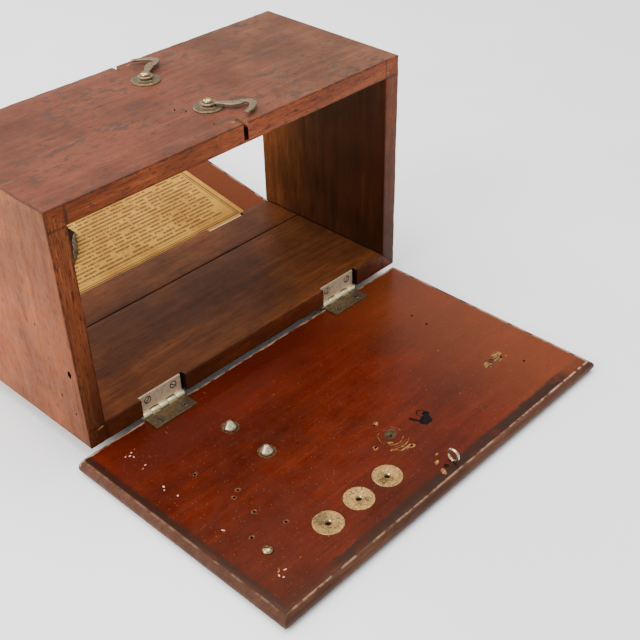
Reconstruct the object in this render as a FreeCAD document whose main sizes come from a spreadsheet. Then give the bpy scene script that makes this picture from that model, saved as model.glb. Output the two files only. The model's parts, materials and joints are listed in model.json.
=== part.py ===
import FreeCAD, Part
import os
import re

# Empty mahogany instrument case that stands on its two dropped flaps, in millimetres.
# +Z is up and z = 0 is the table. X runs along the case, the front is at -Y.
# The origin is below the middle of the case.

doc = FreeCAD.newDocument("InstrumentCase")

# ---------------------------------------------------------------- sizes
SIZES = {
    # case
    "case_len": 305.0, "case_dep": 135.0, "case_bottom": 12.8, "case_top": 190.0,
    "wall": 13.8, "floor_thk": 14.4, "seam_y": 28.4, "seam_gap": 0.9,
    # flaps: distances from the middle plane y = 0 unless named otherwise
    "flap_thk": 9.5, "flap_near": 67.9, "flap_far": 259.4,
    "front_flap_xl": -164.8, "front_flap_xr": 155.2,
    "rear_flap_xl": -161.2, "rear_flap_xr": 158.8, "rear_rise": 9.5,
    # hinges: the pin's line lies at pivot_y each side and at pivot_z
    "pivot_y": 65.4, "pivot_z": 11.7, "knuckle_r": 2.2, "leaf_thk": 1.2, "leaf_reach": 15.4,
    "hinge_half": 18.0, "hinge_xl": -90.5, "hinge_xr": 87.5, "knuckle_gap": 0.2,
    "pin_r": 0.9, "pin_bore_r": 0.95, "notch": 0.4,
    "mortise_near": 18.3, "mortise_far": 20.4,
    # small slotted screws of the hinge leaves
    "screw_pitch": 11.2, "screw_row": 10.3, "screw_head_r": 2.6, "screw_shank_r": 1.1,
    "screw_len": 7.5, "screw_head_h": 1.1, "screw_slot": 0.6, "screw_slot_half": 4.0,
    "screw_slot_deep": 0.5, "screw_fit": 0.04,
    # hooks on top: plate, eye, arm, bend and finger
    "hook_x": 1.2, "hook_y": 32.0, "hook_low": 192.3, "hook_thk": 1.6,
    "hook_eye_r": 5.4, "hook_hole_r": 1.65, "hook_arm_w": 4.0, "hook_arm_end": 21.4,
    "bend_u": 25.1, "bend_v": -0.5, "bend_in": 3.2, "bend_out": 6.8,
    "finger_in": 28.3, "finger_out": 31.9, "finger_turn": 26.0,
    "front_hook_rest": -50.0, "rear_hook_rest": 43.0,
    # roses and rivets of the hooks
    "rose_r": 10.4, "rose_top_r": 9.5, "rose_rim": 0.5, "rose_thk": 1.4,
    "boss_r": 4.6, "boss_top": 192.2, "rivet_r": 1.6, "rivet_deep": 9.0,
    "rivet_head_r": 3.5, "rivet_head_h": 2.2, "rivet_low": 194.0,
    # screw eyes and the slots that take them
    "eye_x": 0.8, "eye_y": 248.0, "eye_rise": 5.5, "eye_mean_r": 4.3, "eye_wire_r": 1.0,
    "eye_shank_r": 1.15, "eye_deep": 6.5, "eye_shank_top": 1.0,
    "kerf_x": 1.1, "kerf_w": 3.8, "kerf_len": 9.0, "kerf_front": 12.3, "kerf_back": 2.2,
    # discs let into the front flap
    "disc_r": 10.3, "disc_thk": 1.4, "disc_sink": 1.35, "disc_hole_r": 1.6, "disc_sink_r": 2.5,
    "disc_sink_h": 0.7, "disc_fit": 0.1,
    "disc_y": -225.1, "disc_x1": -93.3, "disc_x2": -65.2, "disc_x3": -37.9,
    # cone studs and the round-head screw of the front flap
    "stud_x": -73.8, "stud_y1": -115.4, "stud_y2": -151.0, "stud_r": 4.9, "stud_tip_r": 0.7,
    "stud_h": 5.4, "stud_pin_r": 1.2, "stud_deep": 6.0, "stud_flange": 0.5, "stud_step": 0.3,
    "dome_x": -134.1, "dome_y": -213.8, "dome_r": 3.55, "dome_h": 2.3, "dome_slot": 0.8,
    "dome_slot_deep": 0.9,
    # brads in the top right corner: the first one's place and the step to the second
    "brad_r": 0.6, "brad_len": 14.0, "brad_sink": 0.4,
    "brad_x": 142.5, "brad_z": 183.3, "brad_step_x": -7.2, "brad_step_z": 1.2,
    # paper label on the rear flap: near and far edge measured from the hinge line
    "label_xl": -60.0, "label_xr": 128.2, "label_near": 15.9, "label_far": 150.0,
    "label_thk": 0.2,
    # old screw holes
    "old_hole_r": 0.8, "old_hole_deep": 4.0,
    # how much deeper a pilot hole is than what it takes, and how far a cut runs past a face
    "pilot_more": 0.3, "past": 1.0,
}
sheet = doc.addObject("Spreadsheet::Sheet", "Sizes")
for row, (alias, value) in enumerate(SIZES.items(), start=1):
    sheet.set(f"A{row}", alias)
    sheet.set(f"B{row}", str(value))
    sheet.setAlias(f"B{row}", alias)
doc.recompute()

ALIAS = re.compile(r"\b(" + "|".join(sorted(SIZES, key=len, reverse=True)) + r")\b")


# ---------------------------------------------------------------- helpers
def bind(obj, prop, text):
    """Ties a property to an expression that is written with the names of the sizes."""
    obj.setExpression(prop, ALIAS.sub(r"Sizes.\1", str(text)))


def place(obj, x="0", y="0", z="0", axis=None, angle="0"):
    """Puts an object at x, y, z, turned by angle degrees about axis."""
    if axis is not None:
        obj.Placement = FreeCAD.Placement(FreeCAD.Vector(), FreeCAD.Rotation(FreeCAD.Vector(*axis), 10))
        bind(obj, "Placement.Rotation.Angle", angle)
    for name, text in (("x", x), ("y", y), ("z", z)):
        bind(obj, f"Placement.Base.{name}", text)
    return obj


def make(kind, name, **props):
    obj = doc.addObject(kind, name)
    for prop, text in props.items():
        bind(obj, prop, text)
    return obj


def box(name, x0, x1, y0, y1, z0, z1):
    obj = make("Part::Box", name, Length=f"({x1}) - ({x0})", Width=f"({y1}) - ({y0})",
               Height=f"({z1}) - ({z0})")
    return place(obj, x0, y0, z0)


TURN = {"x": ((0, 1, 0), "90"), "y": ((1, 0, 0), "-90"), "z": ((0, 0, 1), "0"),
        "-x": ((0, 1, 0), "-90"), "-y": ((1, 0, 0), "90"), "-z": ((1, 0, 0), "180")}


def rod(name, along, x, y, z, radius, length):
    """Cylinder that starts at x, y, z and runs along a row axis."""
    obj = make("Part::Cylinder", name, Radius=radius, Height=length)
    return place(obj, x, y, z, *TURN[along])


def taper(name, along, x, y, z, r1, r2, height):
    """Cone that starts at x, y, z with radius r1 and ends with radius r2."""
    obj = make("Part::Cone", name, Radius1=r1, Radius2=r2, Height=height)
    return place(obj, x, y, z, *TURN[along])


def wedge(name, low, high, near, far, turn, where=("0", "0", "0")):
    """Board whose section changes from `near` to `far`, each as (xmin, xmax, zmin, zmax)."""
    obj = make("Part::Wedge", name, Ymin=low, Ymax=high, Xmin=near[0], Xmax=near[1], Zmin=near[2],
               Zmax=near[3], X2min=far[0], X2max=far[1], Z2min=far[2], Z2max=far[3])
    return place(obj, *where, *turn)


def many(kind, name, shapes):
    obj = doc.addObject(kind, name)
    if kind == "Part::Compound":
        obj.Links = shapes
    else:
        obj.Shapes = shapes
    return obj


def fuse(name, shapes):
    return many("Part::MultiFuse", name, shapes)


def group(name, shapes):
    return many("Part::Compound", name, shapes)


def cut(name, base, tools):
    obj = doc.addObject("Part::Cut", name)
    obj.Base = base
    obj.Tool = tools[0] if len(tools) == 1 else group(name + "_tools", tools)
    return obj


NODES = []


def node(obj, label):
    """Marks an object as a finished piece."""
    obj.Label = label
    NODES.append(obj)
    return obj


def y_span(side, near, far):
    """Low and high y of a stretch between two distances from the middle plane."""
    return (f"-({far})", f"-({near})") if side < 0 else (near, far)


SIDES = (("front", -1), ("rear", 1))
HINGES = (("left", "hinge_xl"), ("right", "hinge_xr"))


# ---------------------------------------------------------------- screws
def leaf_screw(name, along, x, y, z):
    """Countersunk slotted screw; x, y, z is the middle of its head's flat face."""
    sign = "-" if along.startswith("-") else ""
    axis = along[-1]
    back = {"y": (x, f"({y}) {'-' if sign else '+'} screw_head_h", z),
            "z": (x, y, f"({z}) {'-' if sign else '+'} screw_head_h")}[axis]
    head = taper(name + "_head", along, x, y, z, "screw_head_r", "screw_shank_r", "screw_head_h")
    shank = rod(name + "_shank", along, *back, "screw_shank_r", "screw_len")
    whole = fuse(name + "_whole", [head, shank])
    half = "screw_slot / 2"
    if axis == "z":
        slot = box(name + "_slot", f"({x}) - {half}", f"({x}) + {half}",
                   f"({y}) - screw_slot_half", f"({y}) + screw_slot_half",
                   f"({z}) - screw_slot_deep", f"({z}) + screw_slot_deep")
    else:
        slot = box(name + "_slot", f"({x}) - {half}", f"({x}) + {half}",
                   f"({y}) - screw_slot_deep", f"({y}) + screw_slot_deep",
                   f"({z}) - screw_slot_half", f"({z}) + screw_slot_half")
    return cut(name, whole, [slot])


def screw_hole(name, along, x, y, z):
    """Space for a leaf screw: the countersink in the leaf and the pilot hole behind it."""
    step = "-" if along.startswith("-") else "+"
    axis = along[-1]
    start = f"({y if axis == 'y' else z}) {step} screw_head_h"
    back = (x, start, z) if axis == "y" else (x, y, start)
    head = taper(name + "_sink", along, x, y, z, "screw_head_r + screw_fit",
                 "screw_shank_r + screw_fit", "screw_head_h")
    shank = rod(name + "_pilot", along, *back, "screw_shank_r + screw_fit",
                "screw_len + pilot_more")
    return fuse(name, [head, shank])


# ---------------------------------------------------------------- hinges
KNUCKLES = 5


def knuckle_span(index, centre):
    """Ends along X of one knuckle of a hinge, with the play it has to its neighbours."""
    step = f"(2 * hinge_half / {KNUCKLES})"
    low = f"({centre}) - hinge_half + {index} * {step}"
    high = f"({centre}) - hinge_half + {index + 1} * {step}"
    if index > 0:
        low += " + knuckle_gap / 2"
    if index < KNUCKLES - 1:
        high += " - knuckle_gap / 2"
    return low, high


def hinge_leaf(name, side, centre, upright):
    """Leaf with its knuckles. The upright leaf is the case's, the flat one is the flap's."""
    mine = [i for i in range(KNUCKLES) if (i % 2 == 0) == upright]
    other = [i for i in range(KNUCKLES) if i not in mine]
    low, high = f"({centre}) - hinge_half", f"({centre}) + hinge_half"
    if upright:
        y0, y1 = y_span(side, "pivot_y - knuckle_r", "pivot_y - knuckle_r + leaf_thk")
        plate = box(name + "_plate", low, high, y0, y1, "pivot_z", "pivot_z + leaf_reach")
    else:
        y0, y1 = y_span(side, "pivot_y", "pivot_y + leaf_reach")
        plate = box(name + "_plate", low, high, y0, y1, "pivot_z - knuckle_r",
                    "pivot_z - knuckle_r + leaf_thk")
    y = f"{'-' if side < 0 else ''}pivot_y"
    solids = [plate]
    for i in mine:
        a, b = knuckle_span(i, centre)
        solids.append(rod(f"{name}_knuckle{i}", "x", a, y, "pivot_z", "knuckle_r", f"({b}) - ({a})"))
    tools = [rod(name + "_bore", "x", f"{low} - past", y, "pivot_z", "pin_bore_r",
                 "2 * hinge_half + 2 * past")]
    reach = "knuckle_r + notch"
    for i in other:
        a, b = knuckle_span(i, centre)
        a += " - past" if i == 0 else " - knuckle_gap"
        b += " + past" if i == KNUCKLES - 1 else " + knuckle_gap"
        y0, y1 = y_span(side, f"pivot_y - ({reach})", f"pivot_y + ({reach})")
        tools.append(box(f"{name}_notch{i}", a, b, y0, y1, f"pivot_z - ({reach})",
                         f"pivot_z + ({reach})"))
    for which, sign in (("a", "-"), ("b", "+")):
        x = f"({centre}) {sign} screw_pitch"
        tools.append(leaf_hole(f"{name}_hole_{which}", side, x, upright))
    return cut(name, fuse(name + "_blank", solids), tools)


def leaf_place(side, upright):
    """Axis and middle of a leaf screw's head, by side and by which leaf it holds."""
    if upright:
        y = f"{'-' if side < 0 else ''}(pivot_y - knuckle_r + leaf_thk)"
        return ("y" if side < 0 else "-y"), y, "pivot_z + screw_row"
    y = f"{'-' if side < 0 else ''}(pivot_y + screw_row)"
    return "-z", y, "pivot_z - knuckle_r + leaf_thk"


def leaf_hole(name, side, x, upright):
    along, y, z = leaf_place(side, upright)
    return screw_hole(name, along, x, y, z)


def leaf_screws(name, sides, upright):
    screws = []
    for word, side in sides:
        along, y, z = leaf_place(side, upright)
        for hinge, centre in HINGES:
            for which, sign in (("a", "-"), ("b", "+")):
                screws.append(leaf_screw(f"{name}_{word}_{hinge}_{which}", along,
                                         f"({centre}) {sign} screw_pitch", y, z))
    return group(name, screws)


# ---------------------------------------------------------------- carcass
half_len, half_dep = "case_len / 2", "case_dep / 2"
FLAT = ((1, 0, 0), "90")
BRADS = 2


def floor_plank(name, y0, y1, side):
    """Half of the floor between y0 and y1, with mitred ends and two hinge mortises."""
    section_low = (f"-({half_len})", half_len, f"-({y1})", f"-({y0})")
    section_high = (f"-({half_len} - wall)", f"{half_len} - wall", f"-({y1})", f"-({y0})")
    board = wedge(name + "_board", "case_bottom", "case_bottom + floor_thk", section_low,
                  section_high, FLAT)
    tools = []
    for hinge, centre in HINGES:
        a, b = y_span(side, "pivot_y - knuckle_r", f"{half_dep} + past")
        tools.append(box(f"{name}_mortise_{hinge}", f"({centre}) - mortise_near",
                         f"({centre}) + mortise_far", a, b, "case_bottom - past",
                         "case_bottom + floor_thk + past"))
        for which, sign in (("a", "-"), ("b", "+")):
            tools.append(leaf_hole(f"{name}_pilot_{hinge}_{which}", side,
                                   f"({centre}) {sign} screw_pitch", True))
    return cut(name, board, tools)


def side_board(name, sign):
    """Left (-1) or right (+1) side, mitred at top and bottom."""
    full = (f"-({half_dep})", half_dep, "case_bottom", "case_top")
    short = (f"-({half_dep})", half_dep, "case_bottom + floor_thk", "case_top - wall")
    turn = ((0, 0, 1), "-90")
    if sign < 0:
        return wedge(name, f"-({half_len})", f"-({half_len}) + wall", full, short, turn)
    return wedge(name, f"{half_len} - wall", half_len, short, full, turn)


def brad_place(index):
    """Middle of a brad's head."""
    return (f"brad_x + {index} * brad_step_x", f"-({half_dep}) + brad_sink",
            f"brad_z + {index} * brad_step_z")


def top():
    """Top board, mitred at both ends, with its two sawn slots and the holes of hooks and brads."""
    low = (f"-({half_len} - wall)", f"{half_len} - wall", f"-({half_dep})", half_dep)
    high = (f"-({half_len})", half_len, f"-({half_dep})", half_dep)
    board = wedge("top_blank", "case_top - wall", "case_top", low, high, FLAT)
    tools = []
    for word, side in SIDES:
        x0, x1 = "kerf_x - kerf_w / 2", "kerf_x + kerf_w / 2"
        deep = (x0, x1, "case_top - kerf_front", "case_top + past")
        shallow = (x0, x1, "case_top - kerf_back", "case_top + past")
        if side < 0:
            tools.append(wedge(f"kerf_{word}", f"-({half_dep})", f"-({half_dep}) + kerf_len",
                               deep, shallow, ((0, 0, 1), "0")))
            tools.append(box(f"kerf_{word}_mouth", x0, x1, f"-({half_dep}) - past", f"-({half_dep})",
                             "case_top - kerf_front", "case_top + past"))
        else:
            tools.append(wedge(f"kerf_{word}", f"{half_dep} - kerf_len", half_dep, shallow, deep,
                               ((0, 0, 1), "0")))
            tools.append(box(f"kerf_{word}_mouth", x0, x1, half_dep, f"{half_dep} + past",
                             "case_top - kerf_front", "case_top + past"))
        y = f"{'-' if side < 0 else ''}hook_y"
        tools.append(rod(f"rivet_pilot_{word}", "-z", "hook_x", y, "case_top + past",
                         "rivet_r + screw_fit", "rivet_deep + pilot_more + past"))
    for i in range(BRADS):
        x, y, z = brad_place(i)
        tools.append(rod(f"brad_pilot{i}", "y", x, f"({y}) - past", z, "brad_r + screw_fit",
                         "brad_len + pilot_more + past"))
    return cut("top_cut", board, tools)


node(top(), "top_board")
node(side_board("left_board", -1), "left_side")
node(side_board("right_board", 1), "right_side")
node(floor_plank("front_plank", f"-({half_dep})", "seam_y - seam_gap / 2", -1), "floor_front_plank")
node(floor_plank("rear_plank", "seam_y + seam_gap / 2", half_dep, 1), "floor_rear_plank")
brads = []
for i in range(BRADS):
    bx, by, bz = brad_place(i)
    brads.append(rod(f"brad{i}", "y", bx, by, bz, "brad_r", "brad_len"))
node(group("brads", brads), "corner_brads")


# ---------------------------------------------------------------- flaps
def rise(obj, side, angle="rear_rise"):
    """Turns a piece of the rear flap up about the rear hinge line; the front flap lies flat."""
    if side > 0:
        place(obj, "0", f"pivot_y - pivot_y * cos({angle}) + pivot_z * sin({angle})",
              f"pivot_z - pivot_y * sin({angle}) - pivot_z * cos({angle})", (1, 0, 0), angle)
    return obj


def flap_board(word, side, xl, xr):
    """Board with a full bullnose on its two ends and its outer edge, mitred at the corners."""
    r = "flap_thk / 2"
    y0, y1 = y_span(side, "flap_near", "flap_far")
    across = fuse(f"{word}_across", [
        box(f"{word}_core", f"{xl} + {r}", f"{xr} - {r}", y0, y1, "0", "flap_thk"),
        rod(f"{word}_nose_l", "y", f"{xl} + {r}", y0, r, r, f"({y1}) - ({y0})"),
        rod(f"{word}_nose_r", "y", f"{xr} - {r}", y0, r, r, f"({y1}) - ({y0})")])
    a, b = y_span(side, "flap_near", f"flap_far - {r}")
    nose_y = f"{'-' if side < 0 else ''}(flap_far - {r})"
    along = fuse(f"{word}_along", [
        box(f"{word}_slab", xl, xr, a, b, "0", "flap_thk"),
        rod(f"{word}_nose_o", "x", xl, nose_y, r, r, f"({xr}) - ({xl})")])
    board = doc.addObject("Part::MultiCommon", f"{word}_blank")
    board.Shapes = [across, along]
    return board


def flap_tools(word, side):
    """Pilot holes of the hinge screws and of the screw eye."""
    tools = []
    for hinge, centre in HINGES:
        for which, sign in (("a", "-"), ("b", "+")):
            tools.append(leaf_hole(f"{word}_pilot_{hinge}_{which}", side,
                                   f"({centre}) {sign} screw_pitch", False))
    y = f"{'-' if side < 0 else ''}eye_y"
    tools.append(rod(f"{word}_eye_pilot", "-z", "eye_x", y, "flap_thk + past",
                     "eye_shank_r + screw_fit", "eye_deep + pilot_more + past"))
    return tools


def screw_eye(word, side):
    """Closed ring that stands on a short shank."""
    y = f"{'-' if side < 0 else ''}eye_y"
    ring = make("Part::Torus", f"{word}_ring", Radius1="eye_mean_r", Radius2="eye_wire_r")
    place(ring, "eye_x", y, "flap_thk + eye_rise", (0, 1, 0), "90")
    shank = rod(f"{word}_eye_shank", "-z", "eye_x", y, "flap_thk + eye_shank_top", "eye_shank_r",
                "eye_deep + eye_shank_top")
    return fuse(f"{word}_eye_whole", [ring, shank])


# Old screw holes in the front flap: x and y.
OLD_HOLES = ((-120.3, -132.5), (-117.4, -166.5), (-111.4, -163.3), (-117.4, -184.7),
             (-110.1, -205.3), (-133.3, -199.2), (108.8, -123.8), (108.0, -139.1),
             (120.2, -221.0), (-6.6, -186.4), (-22.7, -201.9), (-5.3, -218.2))
DISCS = (("left", "disc_x1"), ("middle", "disc_x2"), ("right", "disc_x3"))
STUDS = (("near_hinge", "stud_y1"), ("far", "stud_y2"))


def front_fittings():
    """Recesses and holes in the front flap for its discs, studs and dome screw, and old holes."""
    tools = []
    for name, x in DISCS:
        tools.append(rod(f"disc_recess_{name}", "-z", x, "disc_y", "flap_thk + past",
                         "disc_r + disc_fit", "disc_sink + past"))
    for name, y in STUDS:
        tools.append(rod(f"stud_pilot_{name}", "-z", "stud_x", y, "flap_thk + past",
                         "stud_pin_r + screw_fit", "stud_deep + pilot_more + past"))
    tools.append(rod("dome_pilot", "-z", "dome_x", "dome_y", "flap_thk + past",
                     "screw_shank_r + screw_fit", "screw_len + pilot_more + past"))
    for i, (x, y) in enumerate(OLD_HOLES):
        tools.append(rod(f"old_hole{i}", "-z", str(x), str(y), "flap_thk + past", "old_hole_r",
                         "old_hole_deep + past"))
    return tools


for word, side in SIDES:
    xl, xr = f"{word}_flap_xl", f"{word}_flap_xr"
    tools = flap_tools(word, side) + (front_fittings() if side < 0 else [])
    node(rise(cut(f"{word}_board", flap_board(word, side, xl, xr), tools), side), f"{word}_flap")
    node(rise(screw_eye(word, side), side), f"{word}_screw_eye")
    for hinge, centre in HINGES:
        base = f"{word}_{hinge}"
        node(hinge_leaf(base + "_upright", side, centre, True), base + "_case_leaf")
        node(rise(hinge_leaf(base + "_flat", side, centre, False), side), base + "_flap_leaf")
        pin = rod(base + "_rod", "x", f"({centre}) - hinge_half", f"{'-' if side < 0 else ''}pivot_y",
                  "pivot_z", "pin_r", "2 * hinge_half")
        node(pin, base + "_hinge_pin")
    node(rise(leaf_screws(f"{word}_flat_screws", ((word, side),), False), side),
         f"{word}_flap_leaf_screws")
node(leaf_screws("upright_screws", SIDES, True), "case_leaf_screws")

# ---------------------------------------------------------------- front flap's fittings
for name, x in DISCS:
    z = "flap_thk - disc_sink"
    blank = rod(f"disc_{name}_blank", "z", x, "disc_y", z, "disc_r", "disc_thk")
    hole = rod(f"disc_{name}_hole", "z", x, "disc_y", f"{z} - past", "disc_hole_r",
               "disc_thk + 2 * past")
    sink = taper(f"disc_{name}_sink", "-z", x, "disc_y", f"{z} + disc_thk", "disc_sink_r",
                 "disc_hole_r", "disc_sink_h")
    node(cut(f"disc_{name}", blank, [hole, sink]), f"pinhole_disc_{name}")

for name, y in STUDS:
    stud = fuse(f"stud_{name}", [
        rod(f"stud_{name}_flange", "z", "stud_x", y, "flap_thk", "stud_r", "stud_flange"),
        taper(f"stud_{name}_cone", "z", "stud_x", y, "flap_thk + stud_flange", "stud_r - stud_step",
              "stud_tip_r", "stud_h - stud_flange"),
        rod(f"stud_{name}_pin", "-z", "stud_x", y, "flap_thk", "stud_pin_r", "stud_deep")])
    node(stud, f"cone_stud_{name}")


def dome(name, x, y, z, radius, height):
    """Round head: a cap cut from a ball."""
    ball_r = f"({radius} * {radius} + {height} * {height}) / (2 * {height})"
    ball = place(make("Part::Sphere", name + "_ball", Radius=ball_r), x, y,
                 f"({z}) + {height} - {ball_r}")
    wide = f"2 * {radius}"
    keep = box(name + "_keep", f"({x}) - {wide}", f"({x}) + {wide}", f"({y}) - {wide}",
               f"({y}) + {wide}", z, f"({z}) + {wide}")
    cap = doc.addObject("Part::MultiCommon", name)
    cap.Shapes = [ball, keep]
    return cap


dome_screw = fuse("dome_whole", [
    dome("dome_head", "dome_x", "dome_y", "flap_thk", "dome_r", "dome_h"),
    rod("dome_shank", "-z", "dome_x", "dome_y", "flap_thk", "screw_shank_r", "screw_len")])
dome_slot = box("dome_slot_cut", "dome_x - dome_slot / 2", "dome_x + dome_slot / 2",
                "dome_y - 2 * dome_r", "dome_y + 2 * dome_r",
                "flap_thk + dome_h - dome_slot_deep", "flap_thk + dome_h + past")
node(cut("dome_screw", dome_screw, [dome_slot]), "round_head_screw")

# ---------------------------------------------------------------- paper label
label = box("label_sheet", "label_xl", "label_xr", "pivot_y + label_near", "pivot_y + label_far",
            "flap_thk", "flap_thk + label_thk")
node(rise(group("label", [label]), 1), "paper_label")


# ---------------------------------------------------------------- hooks on the top
def hook(name, flip):
    """Flat hook about its own pivot, arm along +X; flip +1 bends it to +Y first, -1 the other way."""
    v = "bend_v" if flip > 0 else "-bend_v"
    low, thick = "hook_low", "hook_thk"
    eye = rod(name + "_eye", "z", "0", "0", low, "hook_eye_r", thick)
    arm = box(name + "_arm", "0", "hook_arm_end", "-hook_arm_w / 2", "hook_arm_w / 2", low,
              f"{low} + {thick}")
    ring = cut(name + "_bend_ring", rod(name + "_bend_out", "z", "bend_u", v, low, "bend_out", thick),
               [rod(name + "_bend_in", "z", "bend_u", v, f"{low} - past", "bend_in",
                    f"{thick} + 2 * past")])
    side = ("bend_v", "finger_out") if flip > 0 else ("-finger_out", "-bend_v")
    half = doc.addObject("Part::MultiCommon", name + "_bend")
    half.Shapes = [ring, box(name + "_bend_keep", "0", "2 * finger_out", *side, f"{low} - past",
                             f"{low} + {thick} + past")]
    sector = make("Part::Cylinder", name + "_sector", Radius="finger_out", Height=thick,
                  Angle="finger_turn + 1")
    place(sector, "0", "0", low, (0, 0, 1), "-finger_turn" if flip > 0 else "-1")
    finger = cut(name + "_finger", sector, [rod(name + "_finger_in", "z", "0", "0", f"{low} - past",
                                                "finger_in", f"{thick} + 2 * past")])
    mid = "(finger_in + finger_out) / 2"
    sign = "-" if flip > 0 else ""
    tip = rod(name + "_tip", "z", f"{mid} * cos(finger_turn)", f"{sign}{mid} * sin(finger_turn)",
              low, "(finger_out - finger_in) / 2", thick)
    plate = fuse(name + "_plate", [eye, arm, half, finger, tip])
    throat = rod(name + "_throat", "z", "bend_u", v, f"{low} - past", "bend_in",
                 f"{thick} + 2 * past")
    bore = rod(name + "_bore", "z", "0", "0", f"{low} - past", "hook_hole_r",
               f"{thick} + 2 * past")
    return cut(name + "_cut", plate, [bore, throat])


for word, side in SIDES:
    y = f"{'-' if side < 0 else ''}hook_y"
    plate = hook(f"{word}_hook", 1 if side < 0 else -1)
    place(plate, "hook_x", y, "0", (0, 0, 1), f"{word}_hook_rest")
    node(plate, f"{word}_hook")
    rose = fuse(f"{word}_rose_whole", [
        rod(f"{word}_rose_rim", "z", "hook_x", y, "case_top", "rose_r", "rose_rim"),
        taper(f"{word}_rose_bevel", "z", "hook_x", y, "case_top + rose_rim", "rose_r",
              "rose_top_r", "rose_thk - rose_rim"),
        rod(f"{word}_rose_boss", "z", "hook_x", y, "case_top", "boss_r", "boss_top - case_top")])
    rose = cut(f"{word}_rose_cut", rose, [rod(f"{word}_rose_hole", "z", "hook_x", y,
                                              "case_top - past", "rivet_r + screw_fit",
                                              "boss_top - case_top + 2 * past")])
    node(rose, f"{word}_hook_rose")
    rivet = fuse(f"{word}_rivet_whole", [
        dome(f"{word}_rivet_head", "hook_x", y, "rivet_low", "rivet_head_r", "rivet_head_h"),
        rod(f"{word}_rivet_shank", "-z", "hook_x", y, "rivet_low", "rivet_r",
            "rivet_low - case_top + rivet_deep")])
    node(rivet, f"{word}_hook_rivet")

doc.recompute()

# ---------------------------------------------------------------- checks and export
faults = []
for obj in doc.Objects:
    if any(state in ("Invalid", "Error") for state in obj.State):
        faults.append(f"{obj.Name}: {obj.State}")
    shape = getattr(obj, "Shape", None)
    if shape is not None and (shape.isNull() or not shape.isValid()):
        faults.append(f"{obj.Name}: shape")
if faults:
    raise RuntimeError("\n".join(faults))

os.makedirs("parts", exist_ok=True)
for obj in NODES:
    obj.Shape.exportStep(f"parts/{obj.Label}.step")
    b = obj.Shape.BoundBox
    print(f"{obj.Label:26s} solids {len(obj.Shape.Solids)} volume {obj.Shape.Volume:10.1f}  "
          f"x {b.XMin:.1f}..{b.XMax:.1f}  y {b.YMin:.1f}..{b.YMax:.1f}  z {b.ZMin:.1f}..{b.ZMax:.1f}")
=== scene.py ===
import json
import math
import random

import bmesh
import bpy
from mathutils import Matrix, Vector, noise


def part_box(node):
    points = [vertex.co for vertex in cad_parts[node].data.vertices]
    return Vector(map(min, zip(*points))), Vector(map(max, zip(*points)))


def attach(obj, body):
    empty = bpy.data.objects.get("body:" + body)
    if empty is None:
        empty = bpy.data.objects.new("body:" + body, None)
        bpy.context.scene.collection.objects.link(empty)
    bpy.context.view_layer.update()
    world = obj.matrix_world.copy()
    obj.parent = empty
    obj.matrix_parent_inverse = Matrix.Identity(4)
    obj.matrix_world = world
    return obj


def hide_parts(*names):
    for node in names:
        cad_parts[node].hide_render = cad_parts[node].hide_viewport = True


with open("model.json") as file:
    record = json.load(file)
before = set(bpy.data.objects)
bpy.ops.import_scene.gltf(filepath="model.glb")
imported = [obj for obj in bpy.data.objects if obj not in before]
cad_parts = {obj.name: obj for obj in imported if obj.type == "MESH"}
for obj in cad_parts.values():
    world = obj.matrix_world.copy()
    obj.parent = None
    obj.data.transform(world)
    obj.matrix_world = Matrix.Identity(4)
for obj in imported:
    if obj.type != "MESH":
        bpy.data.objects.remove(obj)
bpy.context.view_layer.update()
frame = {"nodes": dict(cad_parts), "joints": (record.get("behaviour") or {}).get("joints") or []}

# An empty mahogany instrument case on its two dropped flaps. All lengths in this script are
# millimetres; a mesh is scaled to metres when it becomes an object. The front is at -Y.
MM = 0.001
FRONT, REAR = -1, 1
CASE, FRONT_FLAP, REAR_FLAP = "case", "front_flap_body", "rear_flap_body"
FRONT_HOOK, REAR_HOOK = "front_hook_body", "rear_hook_body"
WORD = {FRONT: "front", REAR: "rear"}
FLAP_BODY = {FRONT: FRONT_FLAP, REAR: REAR_FLAP}
HOOK_BODY = {FRONT: FRONT_HOOK, REAR: REAR_HOOK}
HINGES = ("left", "right")


def extent(node):
    """Lowest and highest corner of a CAD node, in millimetres."""
    low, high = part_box(node)
    return Vector(low) / MM, Vector(high) / MM


def centre(node):
    low, high = extent(node)
    return (low + high) / 2


side_low = extent("right_side")[0]
flap_low, flap_high = extent("front_flap")

HALF_LEN, HALF_DEP, CASE_TOP = extent("top_board")[1]
CASE_LOW = side_low.z
CASE_MID, CASE_HALF = (CASE_TOP + CASE_LOW) / 2, (CASE_TOP - CASE_LOW) / 2
WALL = HALF_LEN - side_low.x
FLOOR_TOP = extent("floor_front_plank")[1].z
FLAP_THK = flap_high.z
FLAP_NEAR = -flap_high.y
FLAP_FAR = -flap_low.y

pins = {j["name"]: Vector(j["pos_m"]) / MM for j in frame["joints"]}
PIVOT_Y = pins["rear_flap_hinge"].y
PIVOT_Z = pins["rear_flap_hinge"].z
rear_joint = next(j for j in frame["joints"] if j["name"] == "rear_flap_hinge")
REAR_RISE = math.radians(-rear_joint["range_deg"][0])
# Pieces of the rear flap are drawn lying flat and then turned up about the rear hinge line.
HINGE_LINE = Vector((0, PIVOT_Y, PIVOT_Z))
RISEN = (Matrix.Translation(HINGE_LINE * MM) @ Matrix.Rotation(REAR_RISE, 4, "X")
         @ Matrix.Translation(-HINGE_LINE * MM))


# ---------------------------------------------------------------- mesh helpers
def linked(obj):
    bpy.context.scene.collection.objects.link(obj)
    return obj


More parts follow.
